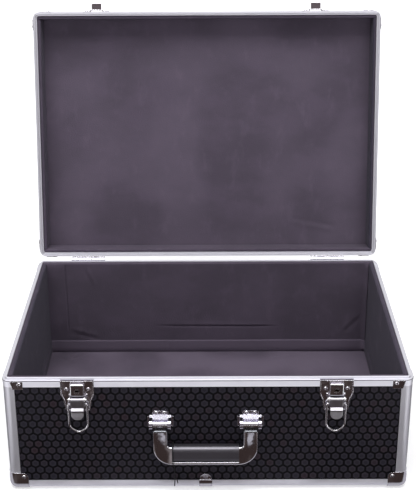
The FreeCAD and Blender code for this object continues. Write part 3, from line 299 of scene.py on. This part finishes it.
def chrome_material(name, colour, rough, wave, shade_band=None):
    """Bright plated pressings: slightly wavy, with faint wiping marks, painted shade in crevices, and a band
    of painted shade between two heights.
    """
    graph = Graph(name)
    place = graph.add("ShaderNodeTexCoord").outputs["Object"]
    waves = graph.noise(place, 130, 1)
    marks = graph.noise(graph.vector("MULTIPLY", place, (1, 1, 0.3)), 420, 5, 0.65)
    worn = tuple(c * WORN_SHARE for c in colour[:3]) + (1,)
    shade = graph.mix(graph.step(marks, 0.45, 0.75), colour, worn)
    roughness = graph.math("MULTIPLY_ADD", graph.step(marks, 0.4, 0.8), 0.05, rough)
    soft = graph.add("ShaderNodeBevel", {"Radius": CHROME_EDGE * MM}, samples=6).outputs[0]
    # Painted shade: the colour goes dark where other surfaces are near, in crevices and gaps between parts.
    around = graph.add("ShaderNodeAmbientOcclusion", {"Distance": CREVICE * MM}, samples=6)
    shade = graph.mix(graph.step(around.outputs["AO"], 0.08, 0.4), CREVICE_SHADE, shade)
    # Painted shade between two heights, with a little more roughness.
    if shade_band:
        height = graph.split(place)[2]
        inside = graph.math("MULTIPLY", graph.step(height, shade_band[0] * MM, (shade_band[0] + SHADE_BAND_LOW_SOFT) * MM),
                            graph.step(height, (shade_band[1] - SHADE_BAND_HIGH_SOFT) * MM, shade_band[1] * MM, 1, 0))
        shade = graph.mix(inside, shade, NECK_SHADE)
        roughness = graph.math("MULTIPLY_ADD", inside, SHADE_BAND_ROUGHNESS, roughness)
    return graph.finish(Base_Color=shade, Metallic=1.0, Roughness=roughness,
                        Normal=graph.bump(waves, wave * MM, soft))


PLUG_DARK = (0.50, 0.49, 0.50, 1)
PLUG_LIGHT = (0.72, 0.71, 0.73, 1)
KEYWAY_SHADE = (0.012, 0.011, 0.013, 1)


def plug_material():
    """The steel plug of the lock, with painted shade inside its keyway."""
    graph = Graph("steel_plug")
    place = drawn_place(graph, False)
    depth = graph.split(place)[1]
    scratches = graph.noise(graph.vector("MULTIPLY", place, (1, 1, 0.2)), 900, 3)
    steel = graph.mix(scratches, PLUG_DARK, PLUG_LIGHT)
    # Painted shade: dark behind the face of the plug, inside the keyway.
    inside = graph.step(depth, (PLUG_FACE + 0.05) * MM, (PLUG_FACE + 0.2) * MM)
    colour = graph.mix(inside, steel, KEYWAY_SHADE)
    return graph.finish(Base_Color=colour, Metallic=1.0, Roughness=0.25,
                        Normal=graph.bump(scratches, LINE_DEPTH * MM))


GRIP_DARK = (0.012, 0.011, 0.014, 1)
GRIP_LIGHT = (0.022, 0.020, 0.025, 1)
GRIP_GRAIN = 1300.0
GRAIN_DEPTH = 0.06


def grip_material():
    """Black moulded plastic with a fine leather-like grain."""
    graph = Graph("grip_plastic")
    place = graph.add("ShaderNodeTexCoord").outputs["Object"]
    cells = graph.add("ShaderNodeTexVoronoi", {"Vector": place, "Scale": GRIP_GRAIN}, feature="SMOOTH_F1")
    worn = graph.noise(place, 160, 3)
    colour = graph.mix(worn, GRIP_DARK, GRIP_LIGHT)
    rough = graph.math("MULTIPLY_ADD", worn, 0.12, 0.34)
    return graph.finish(Base_Color=colour, Roughness=rough, Specular_IOR_Level=1.0, IOR=1.75,
                        Specular_Tint=(0.93, 0.90, 1.0, 1),
                        Normal=graph.bump(cells.outputs[0], GRAIN_DEPTH * MM))


LINING_LIGHT = (0.092, 0.074, 0.103, 1)
LINING_DARK = (0.076, 0.062, 0.085, 1)
LINING_RUBBED = (0.150, 0.122, 0.166, 1)
LINING_SHADED = (0.033, 0.030, 0.044, 1)
NAP_DEPTH = 0.25


def lining_material():
    """Grey-purple suede cloth: a short pile with brushed patches, and painted shade where a piece's share is
    below zero.
    """
    graph = Graph("lining_suede")
    place = graph.add("ShaderNodeTexCoord").outputs["Object"]
    nap_and_shade = graph.noise(place, 2600, 4, 0.7)
    fuzz = graph.noise(place, 700, 3, 0.6)
    patch = graph.noise(graph.vector("MULTIPLY", place, (1, 1, 1.6)), 11, 4, 0.6)
    streak = graph.noise(graph.vector("MULTIPLY", place, (1, 0.35, 0.5)), 60, 3, 0.6)
    rubbed = graph.add("ShaderNodeAttribute", attribute_name="rubbed").outputs["Fac"]
    colour = graph.mix(graph.step(patch, 0.35, 0.65), LINING_DARK, LINING_LIGHT)
    colour = graph.mix(graph.math("MAXIMUM", rubbed, 0.0), colour, LINING_RUBBED)
    # Painted shade: below zero the share darkens the cloth towards LINING_SHADED.
    shaded = graph.math("MULTIPLY", graph.math("MINIMUM", rubbed, 0.0), -1.0)
    colour = graph.mix(shaded, colour, LINING_SHADED)
    colour = graph.mix(graph.step(streak, 0.52, 0.8, 0, 0.25), colour, LINING_RUBBED)
    colour = graph.mix(graph.step(nap_and_shade, 0.55, 0.8, 0, 0.3), colour, LINING_RUBBED)
    height = graph.math("MULTIPLY_ADD", fuzz, 1.5, nap_and_shade)
    return graph.finish(Base_Color=colour, Roughness=0.95, Specular_IOR_Level=0.15, Sheen_Weight=0.06,
                        Sheen_Roughness=0.5, Sheen_Tint=(0.9, 0.85, 1.0, 1),
                        Normal=graph.bump(height, NAP_DEPTH * MM))


STRING_TWIST = 1.1
STRING_DARK = (0.006, 0.006, 0.007, 1)
STRING_LIGHT = (0.022, 0.021, 0.024, 1)
STRAND_DEPTH = 0.12


def string_material():
    """Black twisted thread."""
    graph = Graph("string_thread")
    place = graph.add("ShaderNodeTexCoord").outputs["Object"]
    x, y, z = graph.split(place)
    lean = graph.math("ADD", graph.math("ADD", x, y), graph.math("MULTIPLY", z, 0.8))
    turns = graph.math("MULTIPLY", lean, 2 * math.pi / (STRING_TWIST * MM))
    strands = graph.math("MULTIPLY_ADD", graph.math("SINE", turns), 0.5, 0.5)
    colour = graph.mix(strands, STRING_DARK, STRING_LIGHT)
    return graph.finish(Base_Color=colour, Roughness=0.8, Specular_IOR_Level=0.3,
                        Normal=graph.bump(strands, STRAND_DEPTH * MM))


# Plated pieces: colour, roughness and depth of the waves in the plating
CHROME = (0.84, 0.83, 0.88, 1)
PRESSED = (CHROME, 0.07, 0.12)
SMOOTH = (CHROME, 0.05, 0.08)
LEVER = ((0.50, 0.49, 0.53, 1), 0.28, 0.1)
BRACKET = ((0.68, 0.66, 0.76, 1), 0.12, 0.12)
RIVET = ((0.62, 0.60, 0.65, 1), 0.14, 0.05)
STEEL = ((0.62, 0.61, 0.62, 1), 0.2, 0.05)

# Aluminium pieces: how metallic they look, and a share of their brightness, which below one is painted shade
RIM_METAL = {"base": (0.15, 1.0), "lid": (0.3, 1.0)}
POST_METAL = (0.62, 0.7)
EDGE_METAL = (0.55, 1.0)
PRESSED_NODES = ("base_corner_caps", "lid_corner_caps", "base_rim_brackets", "lid_rim_brackets",
                 "bottom_edge_clip")
EDGE_WIDTHS = {"handle_frame": 0.9, "base_corner_caps": 0.3, "lid_corner_caps": 0.3, "bottom_edge_clip": 0.3,
               "base_rims": 0.5, "lid_rims": 0.5}
for edge_side in ("left", "right"):
    EDGE_WIDTHS.update({f"latch_plate_{edge_side}": 0.58, f"latch_lever_{edge_side}": 0.35,
                        f"latch_keeper_{edge_side}": 0.3, f"handle_bracket_{edge_side}": 0.4})
AXES = {"front": "xz", "rear": "xz", "left": "yz", "right": "yz", "floor": "xy", "top": "xy"}


def dress_nodes():
    """Give each CAD piece its material."""
    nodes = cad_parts

    def wear(name, material):
        nodes[name].data.materials.clear()
        nodes[name].data.materials.append(material)

    for name in nodes:
        if name.endswith("_panel"):
            part, side, _ = name.split("_")
            wear(name, panel_material(f"laminate_{part}_{side}", AXES[side], part == "lid"))
    for part, edges, groove in (("base", "bottom_edges", BASE_GROOVE), ("lid", "top_edges", LID_GROOVE)):
        on_lid = part == "lid"
        rim = extrusion_material(f"aluminium_{part}_rims", on_lid, False, *RIM_METAL[part], groove)
        wear(f"{part}_rims", rim)
        wear(f"{part}_rim_corners", rim)
        wear(f"{part}_corner_posts", extrusion_material(f"aluminium_{part}_posts", on_lid, True, *POST_METAL))
        wear(f"{part}_{edges}", extrusion_material(f"aluminium_{part}_edges", on_lid, False, *EDGE_METAL))
    pressed = chrome_material("chrome_pressed", *PRESSED)
    smooth = chrome_material("chrome_smooth", *SMOOTH)
    lever = chrome_material("chrome_levers", *LEVER)
    bracket = chrome_material("chrome_brackets", *BRACKET)
    rivet = chrome_material("chrome_rivets", *RIVET)
    steel = chrome_material("steel_pins", *STEEL)
    plug = plug_material()
    for name in PRESSED_NODES:
        wear(name, pressed)
    for name in ("base_rivets", "lid_rivets"):
        wear(name, rivet)
    for name in ("hinge_pins", "latch_pins", "handle_pins"):
        wear(name, steel)
    for side in ("left", "right"):
        for name in ("latch_plate", "latch_keeper", "hinge_base_leaf", "hinge_lid_leaf"):
            wear(f"{name}_{side}", pressed)
        wear(f"handle_bracket_{side}", bracket)
        wear(f"latch_lever_{side}", lever)
        wear(f"latch_bail_{side}", smooth)
        wear(f"lock_plug_{side}", plug)
    wear("handle_frame", chrome_material("chrome_handle", *SMOOTH, HANDLE_SHADE_BAND))
    wear("handle_grip", grip_material())
    for name, width in EDGE_WIDTHS.items():
        soften(nodes[name], width)


def soften(obj, width):
    """Round the sharp edges of a pressing, so that they catch the light."""
    bevel = obj.modifiers.new("soft_edges", "BEVEL")
    bevel.width = width * MM
    bevel.segments = 3
    bevel.limit_method = "ANGLE"
    bevel.angle_limit = math.radians(40)
    bevel.use_clamp_overlap = True


# Lining: padded pieces covered with suede, each a closed form in the space of its CAD solid

LINING_STEP = 3.0
EDGE_ROUND = 1.3
FADE = 6.0
FOLD_STEPS = (-3.0, -2.0, -1.2, -0.6, 0.0, 0.6, 1.2, 2.0, 3.0)


def smooth_step(value, low, high):
    t = np.clip((value - low) / (high - low), 0, 1)
    return t * t * (3 - 2 * t)


def ripples(u, v, size, depth, seed):
    """Soft irregular unevenness of a given size."""
    places = zip(u.ravel(), v.ravel())
    flat = [noise.noise(Vector((a / size + seed, b / size, seed * 1.7))) for a, b in places]
    return depth * np.array(flat).reshape(u.shape)


def crease(u, v, start, end, depth, width):
    """A fold along a line: a groove with a soft lip beside it, fading at both ends."""
    ax, ay = start
    run = np.array(end, float) - np.array(start, float)
    length = np.linalg.norm(run)
    tx, ty = run / length
    along = (u - ax) * tx + (v - ay) * ty
    off = -(u - ax) * ty + (v - ay) * tx
    fade = smooth_step(along, 0, 0.25 * length) * (1 - smooth_step(along, 0.75 * length, length))
    groove = np.exp(-((off / width) ** 2))
    lip = np.exp(-(((off - 2.2 * width) / (1.6 * width)) ** 2))
    return fade * depth * (0.7 * lip - groove)


def spread(length, folds):
    """Places along a side: even ones, and closer ones where the cloth turns over the edge or at a fold."""
    count = max(2, round((length - 2 * EDGE_ROUND) / LINING_STEP))
    inner = np.linspace(EDGE_ROUND, length - EDGE_ROUND, count + 1)
    turn = EDGE_ROUND * (1 - np.cos(np.linspace(0, math.pi / 2, 5)))[:-1]
    places = [turn, inner, length - turn] + [fold + np.array(FOLD_STEPS) for fold in folds]
    places = np.unique(np.round(np.concatenate(places), 2))
    return places[(places >= 0) & (places <= length)]


def lining_piece(name, size, thickness, placing, material, body, form, folds=((), ())):
    """A padded piece, drawn flat with its back at zero and placed. A form gives its rise, and its share of
    brushed cloth above zero and of painted shade below zero.
    """
    width, height = size
    u, v = np.meshgrid(spread(width, folds[0]), spread(height, folds[1]), indexing="ij")
    inset = np.minimum(np.minimum(u, width - u), np.minimum(v, height - v))
    rolled = np.clip(1 - inset / EDGE_ROUND, 0, 1)
    fall = EDGE_ROUND * (1 - np.sqrt(np.clip(1 - rolled**2, 0, 1)))
    rise, rubbed = form(u, v)
    top = thickness - fall + rise * smooth_step(inset, 0, FADE)
    count_u, count_v = u.shape
    front = np.stack([u, v, top], axis=-1).reshape(-1, 3)
    ring = [i * count_v for i in range(count_u)]
    ring += [(count_u - 1) * count_v + j for j in range(1, count_v)]
    ring += [i * count_v + count_v - 1 for i in range(count_u - 2, -1, -1)]
    ring += [j for j in range(count_v - 2, 0, -1)]
    back = front[ring] * (1, 1, 0)
    faces = []
    for i in range(count_u - 1):
        for j in range(count_v - 1):
            a = i * count_v + j
            faces.append((a, a + count_v, a + count_v + 1, a + 1))
    first = len(front)
    for k in range(len(ring)):
        after = (k + 1) % len(ring)
        faces.append((ring[k], first + k, first + after, ring[after]))
    faces.append(tuple(range(first + len(ring) - 1, first - 1, -1)))
    mesh = bpy.data.meshes.new(name)
    mesh.from_pydata((np.concatenate([front, back]) * MM).tolist(), [], faces)
    mesh.materials.append(material)
    mesh.polygons.foreach_set("use_smooth", [True] * len(mesh.polygons))
    values = np.concatenate([rubbed.ravel(), np.zeros(len(ring))])
    mesh.attributes.new("rubbed", "FLOAT", "POINT").data.foreach_set("value", values)
    mesh.transform(placing)
    if placing.determinant() < 0:
        mesh.flip_normals()
    mesh.update()
    obj = bpy.data.objects.new(f"{name}_suede", mesh)
    bpy.context.collection.objects.link(obj)
    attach(obj, body)
    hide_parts(name)


def facing(origin, u_axis, v_axis, out_axis):
    """The placing of a piece drawn flat: its corner, its two sides and the way it faces."""
    turn = Matrix((u_axis, v_axis, out_axis)).transposed().to_4x4()
    return Matrix.Translation(Vector(origin) * MM) @ turn


X, Y, Z = Vector((1, 0, 0)), Vector((0, 1, 0)), Vector((0, 0, 1))
LINING_X = 244.3
LINING_Y = 172.8
BASE_WALL = 6.0
BASE_FLOOR = 4.0
LID_WALL = 4.5
SLACK = 0.3
FLOOR_LOW = 4.5
WALL_LOW = 8.8
WALL_HIGH = 156.4
LID_LOW = 160.0
LID_CEILING = 194.8
LAP_TOP = 28.5
LAP_SIDE = -212.0
COVE = 9.0
LID_WAVE = 0.25


# Creases: start, end, depth and width
REAR_CREASES = (
    ((-85, 53.2), (112, 51.6), 1.1, 1.5),
    ((-184, 152), (-171, 118), 1.4, 1.5),
    ((-78, 156), (-72, 138), 0.8, 1.4),
    ((-210, 44), (-165, 30), 1.2, 2.6),
    ((-192, 28), (-184, 52), 1.0, 2.2),
    ((-62, 10), (-60, 26), 0.7, 1.2),
    ((205, 40), (232, 70), 0.8, 3.0),
)
FLOOR_CREASES = (
    ((18, 325), (48, 300), 1.2, 2.2),
    ((400, 338), (330, 322), 0.7, 2.4),
    ((60, 335), (30, 310), 0.8, 2.0),
)
LID_CREASES = (
    ((-190, 40), (-120, 28), 0.8, 2.4),
    ((120, 300), (200, 315), 0.7, 2.4),
)
LONG_CREASE = 43.6
LAP_RISE = 1.2
SIDE_LAP_RISE = 0.9
LAP_SOFT = 0.6


def above_lap(height):
    """0 on the lap strip at the foot of a wall, and 1 above it."""
    return smooth_step(height, LAP_TOP - LAP_SOFT, LAP_TOP + LAP_SOFT)


def rear_form(u, v):
    """The rear wall: cloth from the floor lapped over it, a lap at the left, and a few creases."""
    x = u - LINING_X
    z = v + WALL_LOW
    rise = ripples(u, v, 60, 0.5, 1.3) + ripples(u, v, 17, 0.18, 4.1)
    below = 1 - above_lap(z)
    rise += LAP_RISE * below
    upper = smooth_step(z, 42, 62)
    rise += upper * 0.9 * (1 - smooth_step(x, LAP_SIDE - 0.7, LAP_SIDE + 0.5))
    rise -= upper * 1.1 * np.exp(-(((x - LAP_SIDE - 0.6) / 0.9) ** 2))
    for fold in REAR_CREASES:
        rise += crease(x, z, *fold)
    away = LINING_X - BASE_WALL - x
    bend = np.clip(1 - away / COVE, 0, 1)
    rise += np.where(away > SLACK, COVE * (1 - np.sqrt(np.clip(1 - bend**2, 0, 1))), 0)
    return rise, 0.75 * below


# A negative last number paints shade over the whole piece.
def plain_form(seed, wave=0.5, nap_and_shade=0.0):
    def form(u, v):
        return ripples(u, v, 62, wave, seed) + ripples(u, v, 18, 0.15, seed + 2.9), np.full(u.shape, nap_and_shade)
    return form


def side_form(seed, nap_and_shade):
    def form(u, v):
        rise, rubbed = plain_form(seed, nap_and_shade=nap_and_shade)(u, v)
        below = 1 - above_lap(v + WALL_LOW)
        return rise + SIDE_LAP_RISE * below, rubbed + 0.2 * below
    return form


def floor_form(u, v):
    rise, rubbed = plain_form(7.7)(u, v)
    for fold in FLOOR_CREASES:
        rise += crease(u, v, *fold)
    rubbed = 0.55 * smooth_step(ripples(u, v, 70, 1, 3.7), -0.35, 0.3)
    return rise, rubbed


def lid_form(u, v):
    x = u - LINING_X
    rise = ripples(u, v, 75, 0.55, 2.2) + ripples(u, v, 20, 0.14, 5.4)
    for fold in LID_CREASES:
        rise += crease(x, v, *fold)
    return rise, 0.3 * smooth_step(ripples(u, v, 90, 1, 8.3), -0.2, 0.4)


def make_linings():
    material = lining_material()
    side_length = 2 * (LINING_Y - BASE_WALL - SLACK)
    wall = WALL_HIGH - WALL_LOW
    lap = LAP_TOP - WALL_LOW
    wide = 2 * LINING_X
    base = [
        ("floor", (wide, 2 * LINING_Y), BASE_FLOOR, ((-LINING_X, -LINING_Y, FLOOR_LOW), X, Y, Z),
         floor_form, ((), ())),
        ("rear", (wide, wall), BASE_WALL, ((-LINING_X, LINING_Y, WALL_LOW), X, Z, -Y),
         rear_form, ((LINING_X + LAP_SIDE, wide - BASE_WALL - COVE / 3, wide - BASE_WALL - COVE),
                     (lap, LONG_CREASE))),
        ("front", (wide, wall), BASE_WALL, ((-LINING_X, -LINING_Y, WALL_LOW), X, Z, Y),
         side_form(3.3, 0.0), ((), (lap,))),
        # The two side walls get painted shade.
        ("left", (side_length, wall), BASE_WALL, ((-LINING_X, -side_length / 2, WALL_LOW), Y, Z, X),
         side_form(6.1, -0.8), ((), (lap,))),
        ("right", (side_length, wall), BASE_WALL, ((LINING_X, -side_length / 2, WALL_LOW), Y, Z, -X),
         side_form(8.4, -0.75), ((), (lap,))),
    ]
    for side, size, thickness, spot, form, folds in base:
        placing = TO_ROW @ facing(*spot)
        lining_piece(f"base_{side}_lining", size, thickness, placing, material, "base", form, folds)
    lid_side = 2 * (LINING_Y - LID_WALL - SLACK)
    lid_wall = LID_CEILING - LID_LOW
    lid_back = LID_CEILING + SLACK + LID_WALL
    lid = [
        ("top", (wide, 2 * LINING_Y), ((-LINING_X, -LINING_Y, lid_back), X, Y, -Z), lid_form),
        ("rear", (wide, lid_wall), ((-LINING_X, LINING_Y, LID_LOW), X, Z, -Y), plain_form(1.1, LID_WAVE)),
        # The front and the two side walls of the lid get painted shade, the right side most.
        ("front", (wide, lid_wall), ((-LINING_X, -LINING_Y, LID_LOW), X, Z, Y),
         plain_form(3.9, LID_WAVE, -0.5)),
        ("left", (lid_side, lid_wall), ((-LINING_X, -lid_side / 2, LID_LOW), Y, Z, X),
         plain_form(6.6, LID_WAVE, -0.35)),
        ("right", (lid_side, lid_wall), ((LINING_X, -lid_side / 2, LID_LOW), Y, Z, -X),
         plain_form(9.2, LID_WAVE, -1.0)),
    ]
    for side, size, spot, form in lid:
        lining_piece(f"lid_{side}_lining", size, LID_WALL, STOOD_OPEN @ facing(*spot), material, "lid", form)


# Tie string

STRING_RADIUS = 0.6
LOOP_X = -43.2
HANDLE_Y = -187.5
LOOP_POINTS = [
    (-8.9, 56.0), (-8.9, 66.9), (-6.3, 69.9), (6.3, 69.9), (8.9, 66.9), (8.9, 56.0), (8.9, 45.1), (6.6, 42.3),
    (-6.6, 42.3), (-8.9, 45.1), (-8.9, 55.6),
]
STRAND_POINTS = [
    (-41.95, -187.5, 42.3), (-41.95, -187.84, 33.9), (-41.61, -187.67, 26.84), (-41.28, -187.16, 19.79),
    (-41.78, -187.33, 12.73), (-41.95, -187.84, 8.7),
]
KNOT_CENTRE = (-41.28, -187.16, 19.79)
KNOT_TURNS = 2
KNOT_RADIUS = 1.05
KNOT_HALF = 1.1
TAIL_POINTS = [(1.2, 0.0, 0.2), (2.79, -0.3, -2.49), (3.36, -0.2, -6.72)]


def cord_curve(name, points, material, body):
    data = bpy.data.curves.new(name, "CURVE")
    data.dimensions = "3D"
    data.bevel_depth = STRING_RADIUS * MM
    data.bevel_resolution = 4
    data.resolution_u = 8
    data.use_fill_caps = True
    spline = data.splines.new("NURBS")
    spline.points.add(len(points) - 1)
    for target, place in zip(spline.points, points):
        target.co = (*point(*place), 1)
    spline.order_u = 3
    spline.use_endpoint_u = True
    data.materials.append(material)
    obj = bpy.data.objects.new(name, data)
    bpy.context.collection.objects.link(obj)
    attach(obj, body)
    return obj


def make_string():
    material = string_material()
    round_rail = [(LOOP_X, HANDLE_Y + y, z) for y, z in LOOP_POINTS]
    loop = cord_curve("string_loop_thread", round_rail, material, "handle")
    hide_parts("string_loop")
    strand = cord_curve("tie_string_thread", STRAND_POINTS, material, "string")
    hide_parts("tie_string")
    cx, cy, cz = KNOT_CENTRE
    turns = []
    steps = 6 * KNOT_TURNS
    for k in range(steps + 1):
        angle = 2 * math.pi * KNOT_TURNS * k / steps
        turns.append((cx + KNOT_RADIUS * math.cos(angle), cy + KNOT_RADIUS * math.sin(angle),
                      cz + KNOT_HALF * (1 - 2 * k / steps)))
    turns += [(cx + x, cy + y, cz + z) for x, y, z in TAIL_POINTS]
    knot = cord_curve("string_knot_thread", turns, material, "string")
    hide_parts("string_knot")


# Stage, in metres: a pale floor, soft lights, and cards on the floor that only reflections see

WHITE = (1, 1, 1, 1)
FLOOR_SIZE = 6.0
FLOOR_GREY = (0.8, 0.8, 0.8, 1)
FLOOR_GLOW = (0.42, 1)
CARD_LENGTH = 1.3
CARD_HALF = 0.285
CARD_SPREAD = 0.22
CARD_RISE = 0.0005
CARD_FADE = 0.8
CARD_UNDER = 0.03
SIDE_CARD_AHEAD = 0.1
CARD_BROWN = (0.040, 0.028, 0.026, 1)
CARD_PATCH = (0.42, 0.38, 0.38, 1)
CARD_PALE = (0.45, 0.44, 0.48, 1)
REAR_CARD = ((0.05, 0.045, 0.05, 1), (0.40, 0.38, 0.40, 1))
SIDE_CARD = ((0.30, 0.29, 0.31, 1), (0.62, 0.61, 0.64, 1))

# Pale streaks on the card: place across, distance from the case and lean, then their half width and length
CARD_STREAKS = ((-0.063, 0.158, 0.2), (0.058, 0.15, -0.15))
STREAK_WIDTH = 0.0045
STREAK_LENGTH = 0.022

# Lamps: place, target, size and power
KEY_LAMP = ((-0.1, -0.62, 2.1), (0, 0, 0.2), (2.2, 1.15), 39)
TOP_LAMP = ((0.0, 0.5, 2.3), (0, 0.1, 0.2), (1.6, 1.2), 12)
FRONT_LAMP = ((0.0, -2.4, 0.9), (0, 0, 0.25), (1.8, 1.0), 12)
WORLD_LIGHT = (0.30, 0.295, 0.32, 1)
WORLD_LOW = (0.62, 0.61, 0.66, 1)
WORLD_AHEAD = (0.14, 0.115, 0.12, 1)
CASE_FRONT = point(0, -CASE_DEPTH / 2, 0).y
CASE_BACK = point(0, CASE_DEPTH / 2, 0).y


def plane(name, corners, material):
    mesh = bpy.data.meshes.new(name)
    mesh.from_pydata(corners, [], [(0, 1, 2, 3)])
    mesh.materials.append(material)
    obj = bpy.data.objects.new(name, mesh)
    bpy.context.collection.objects.link(obj)
    return obj


def seen_ray(graph):
    """1 for rays from the camera, from mirrors and through glass."""
    path = graph.add("ShaderNodeLightPath").outputs
    seen = graph.math("MAXIMUM", path["Is Camera Ray"], path["Is Glossy Ray"])
    return graph.math("MAXIMUM", seen, path["Is Transmission Ray"])


def floor_material():
    """Pale floor that shows white where light falls on it and keeps the shadow."""
    graph = Graph("floor_pale")
    diffuse = graph.add("ShaderNodeBsdfDiffuse", {"Color": FLOOR_GREY})
    away = graph.vector("LENGTH", graph.add("ShaderNodeTexCoord").outputs["Object"])
    strength = graph.step(away, 0.45, 1.3, *FLOOR_GLOW)
    glow = graph.add("ShaderNodeEmission", {"Color": WHITE, "Strength": strength})
    both = graph.add("ShaderNodeAddShader", {0: diffuse.outputs[0], 1: glow.outputs[0]})
    mixed = graph.add("ShaderNodeMixShader", {0: seen_ray(graph), 1: diffuse.outputs[0], 2: both.outputs[0]})
    output = graph.add("ShaderNodeOutputMaterial")
    graph.links.new(mixed.outputs[0], output.inputs["Surface"])
    return graph.material


def fading_card(graph, colour, away):
    """The surface of a card that fades out with its distance."""
    glow = graph.add("ShaderNodeEmission", {"Color": colour, "Strength": 1.0})
    clear = graph.add("ShaderNodeBsdfTransparent")
    fade = graph.step(away, CARD_FADE, CARD_LENGTH)
    shown = graph.add("ShaderNodeMixShader", {0: fade, 1: glow.outputs[0], 2: clear.outputs[0]})
    output = graph.add("ShaderNodeOutputMaterial")
    graph.links.new(shown.outputs[0], output.inputs["Surface"])
    return graph.material


def card_material():
    """A brown card with paler patches, fading into the floor at its far edge."""
    graph = Graph("card_dark")
    place = graph.add("ShaderNodeTexCoord").outputs["Object"]
    away = graph.math("SUBTRACT", CASE_FRONT, graph.split(place)[1])
    patches = graph.step(graph.noise(graph.vector("MULTIPLY", place, (1, 0.4, 1)), 24, 2), 0.50, 0.68, 0, 0.8)
    beside = graph.math("ABSOLUTE", graph.math("ADD", graph.split(place)[0], 0.003))
    patches = graph.math("MULTIPLY", patches, graph.step(beside, 0.19, 0.22, 1, 0.15))
    brown = graph.mix(patches, CARD_BROWN, CARD_PATCH)
    arms = graph.math("MULTIPLY", graph.step(beside, 0.058, 0.07), graph.step(away, 0.006, 0.014))
    near = graph.math("MAXIMUM", graph.step(away, 0.026, 0.034), arms)
    pale = graph.math("MULTIPLY", graph.step(away, 0.055, 0.075, 1, 0), near)
    pale = graph.math("MULTIPLY", pale, graph.step(beside, 0.12, 0.14, 1, 0))
    pale = graph.math("MAXIMUM", pale, graph.step(away, 0.003, 0.014, 1, 0))
    for x, y, lean in CARD_STREAKS:
        across = graph.math("SUBTRACT", graph.split(place)[0], x)
        ahead = graph.math("SUBTRACT", away, y)
        across = graph.math("MULTIPLY_ADD", ahead, lean, across)
        spot = graph.join(graph.math("DIVIDE", across, STREAK_WIDTH),
                          graph.math("DIVIDE", ahead, STREAK_LENGTH), 0.0)
        pale = graph.math("MAXIMUM", pale, graph.step(graph.vector("LENGTH", spot), 0.5, 1.2, 1, 0))
    return fading_card(graph, graph.mix(pale, brown, CARD_PALE), away)


def side_card_material(name, dark, pale):
    """A card with soft patches, fading into the floor away from the case."""
    graph = Graph(name)
    place = graph.add("ShaderNodeTexCoord").outputs["Object"]
    patches = graph.step(graph.noise(place, 9, 2), 0.42, 0.62)
    return fading_card(graph, graph.mix(patches, dark, pale), graph.vector("LENGTH", place))


def card(name, low, high, material, spread_far=0.0):
    """A flat card just over the floor, which only reflections see, wider at its front end where asked."""
    made = plane(name, [(low[0] - spread_far, low[1], CARD_RISE), (high[0] + spread_far, low[1], CARD_RISE),
                        (high[0], high[1], CARD_RISE), (low[0], high[1], CARD_RISE)], material)
    made.visible_camera = False
    made.visible_diffuse = False
    made.visible_transmission = False
    made.visible_shadow = False


def area_light(name, place, target, size, power):
    data = bpy.data.lights.new(name, "AREA")
    data.shape = "RECTANGLE"
    data.size, data.size_y = size
    data.energy = power
    obj = bpy.data.objects.new(name, data)
    bpy.context.collection.objects.link(obj)
    obj.location = place
    obj.rotation_euler = (Vector(target) - Vector(place)).to_track_quat("-Z", "Y").to_euler()
    return obj


def make_stage():
    half = FLOOR_SIZE / 2
    plane("floor", [(-half, -half, 0), (half, -half, 0), (half, half, 0), (-half, half, 0)], floor_material())
    back = CASE_BACK - CARD_UNDER
    card("dark_card", (-CARD_HALF, CASE_FRONT - CARD_LENGTH), (CARD_HALF, CASE_FRONT + CARD_UNDER),
         card_material(), CARD_SPREAD)
    rear = side_card_material("card_rear", *REAR_CARD)
    card("rear_card", (-CARD_LENGTH, back), (CARD_LENGTH, CASE_BACK + CARD_LENGTH), rear)
    beside = side_card_material("card_beside", *SIDE_CARD)
    for side, low, high in (("left", -CARD_LENGTH, -CARD_HALF), ("right", CARD_HALF, CARD_LENGTH)):
        card(f"{side}_card", (low, CASE_FRONT - SIDE_CARD_AHEAD), (high, back), beside)
    area_light("key", *KEY_LAMP)
    area_light("top", *TOP_LAMP)
    front = area_light("front", *FRONT_LAMP)
    front.visible_glossy = False
    world = bpy.data.worlds.new("studio")
    bpy.context.scene.world = world
    world.use_nodes = True
    graph = Graph("studio", world.node_tree)
    _, y, z = graph.split(graph.add("ShaderNodeTexCoord").outputs["Generated"])
    low = graph.step(z, 0.45, 0.8, 1, 0)
    ahead = graph.math("MULTIPLY", graph.step(y, -0.5, -0.1, 1, 0), low)
    sides = graph.mix(graph.step(z, 0.0, 0.5), WORLD_LOW, WHITE)
    seen = graph.mix(ahead, sides, WORLD_AHEAD)
    colour = graph.mix(seen_ray(graph), WORLD_LIGHT, seen)
    camera_ray = graph.add("ShaderNodeLightPath").outputs["Is Camera Ray"]
    colour = graph.mix(camera_ray, colour, WHITE)
    background = graph.add("ShaderNodeBackground", {"Color": colour, "Strength": 1.0})
    output = graph.add("ShaderNodeOutputWorld")
    graph.links.new(background.outputs[0], output.inputs["Surface"])


make_camera()
make_string()
dress_nodes()
make_linings()
make_stage()
bpy.context.scene.view_settings.view_transform = "Standard"
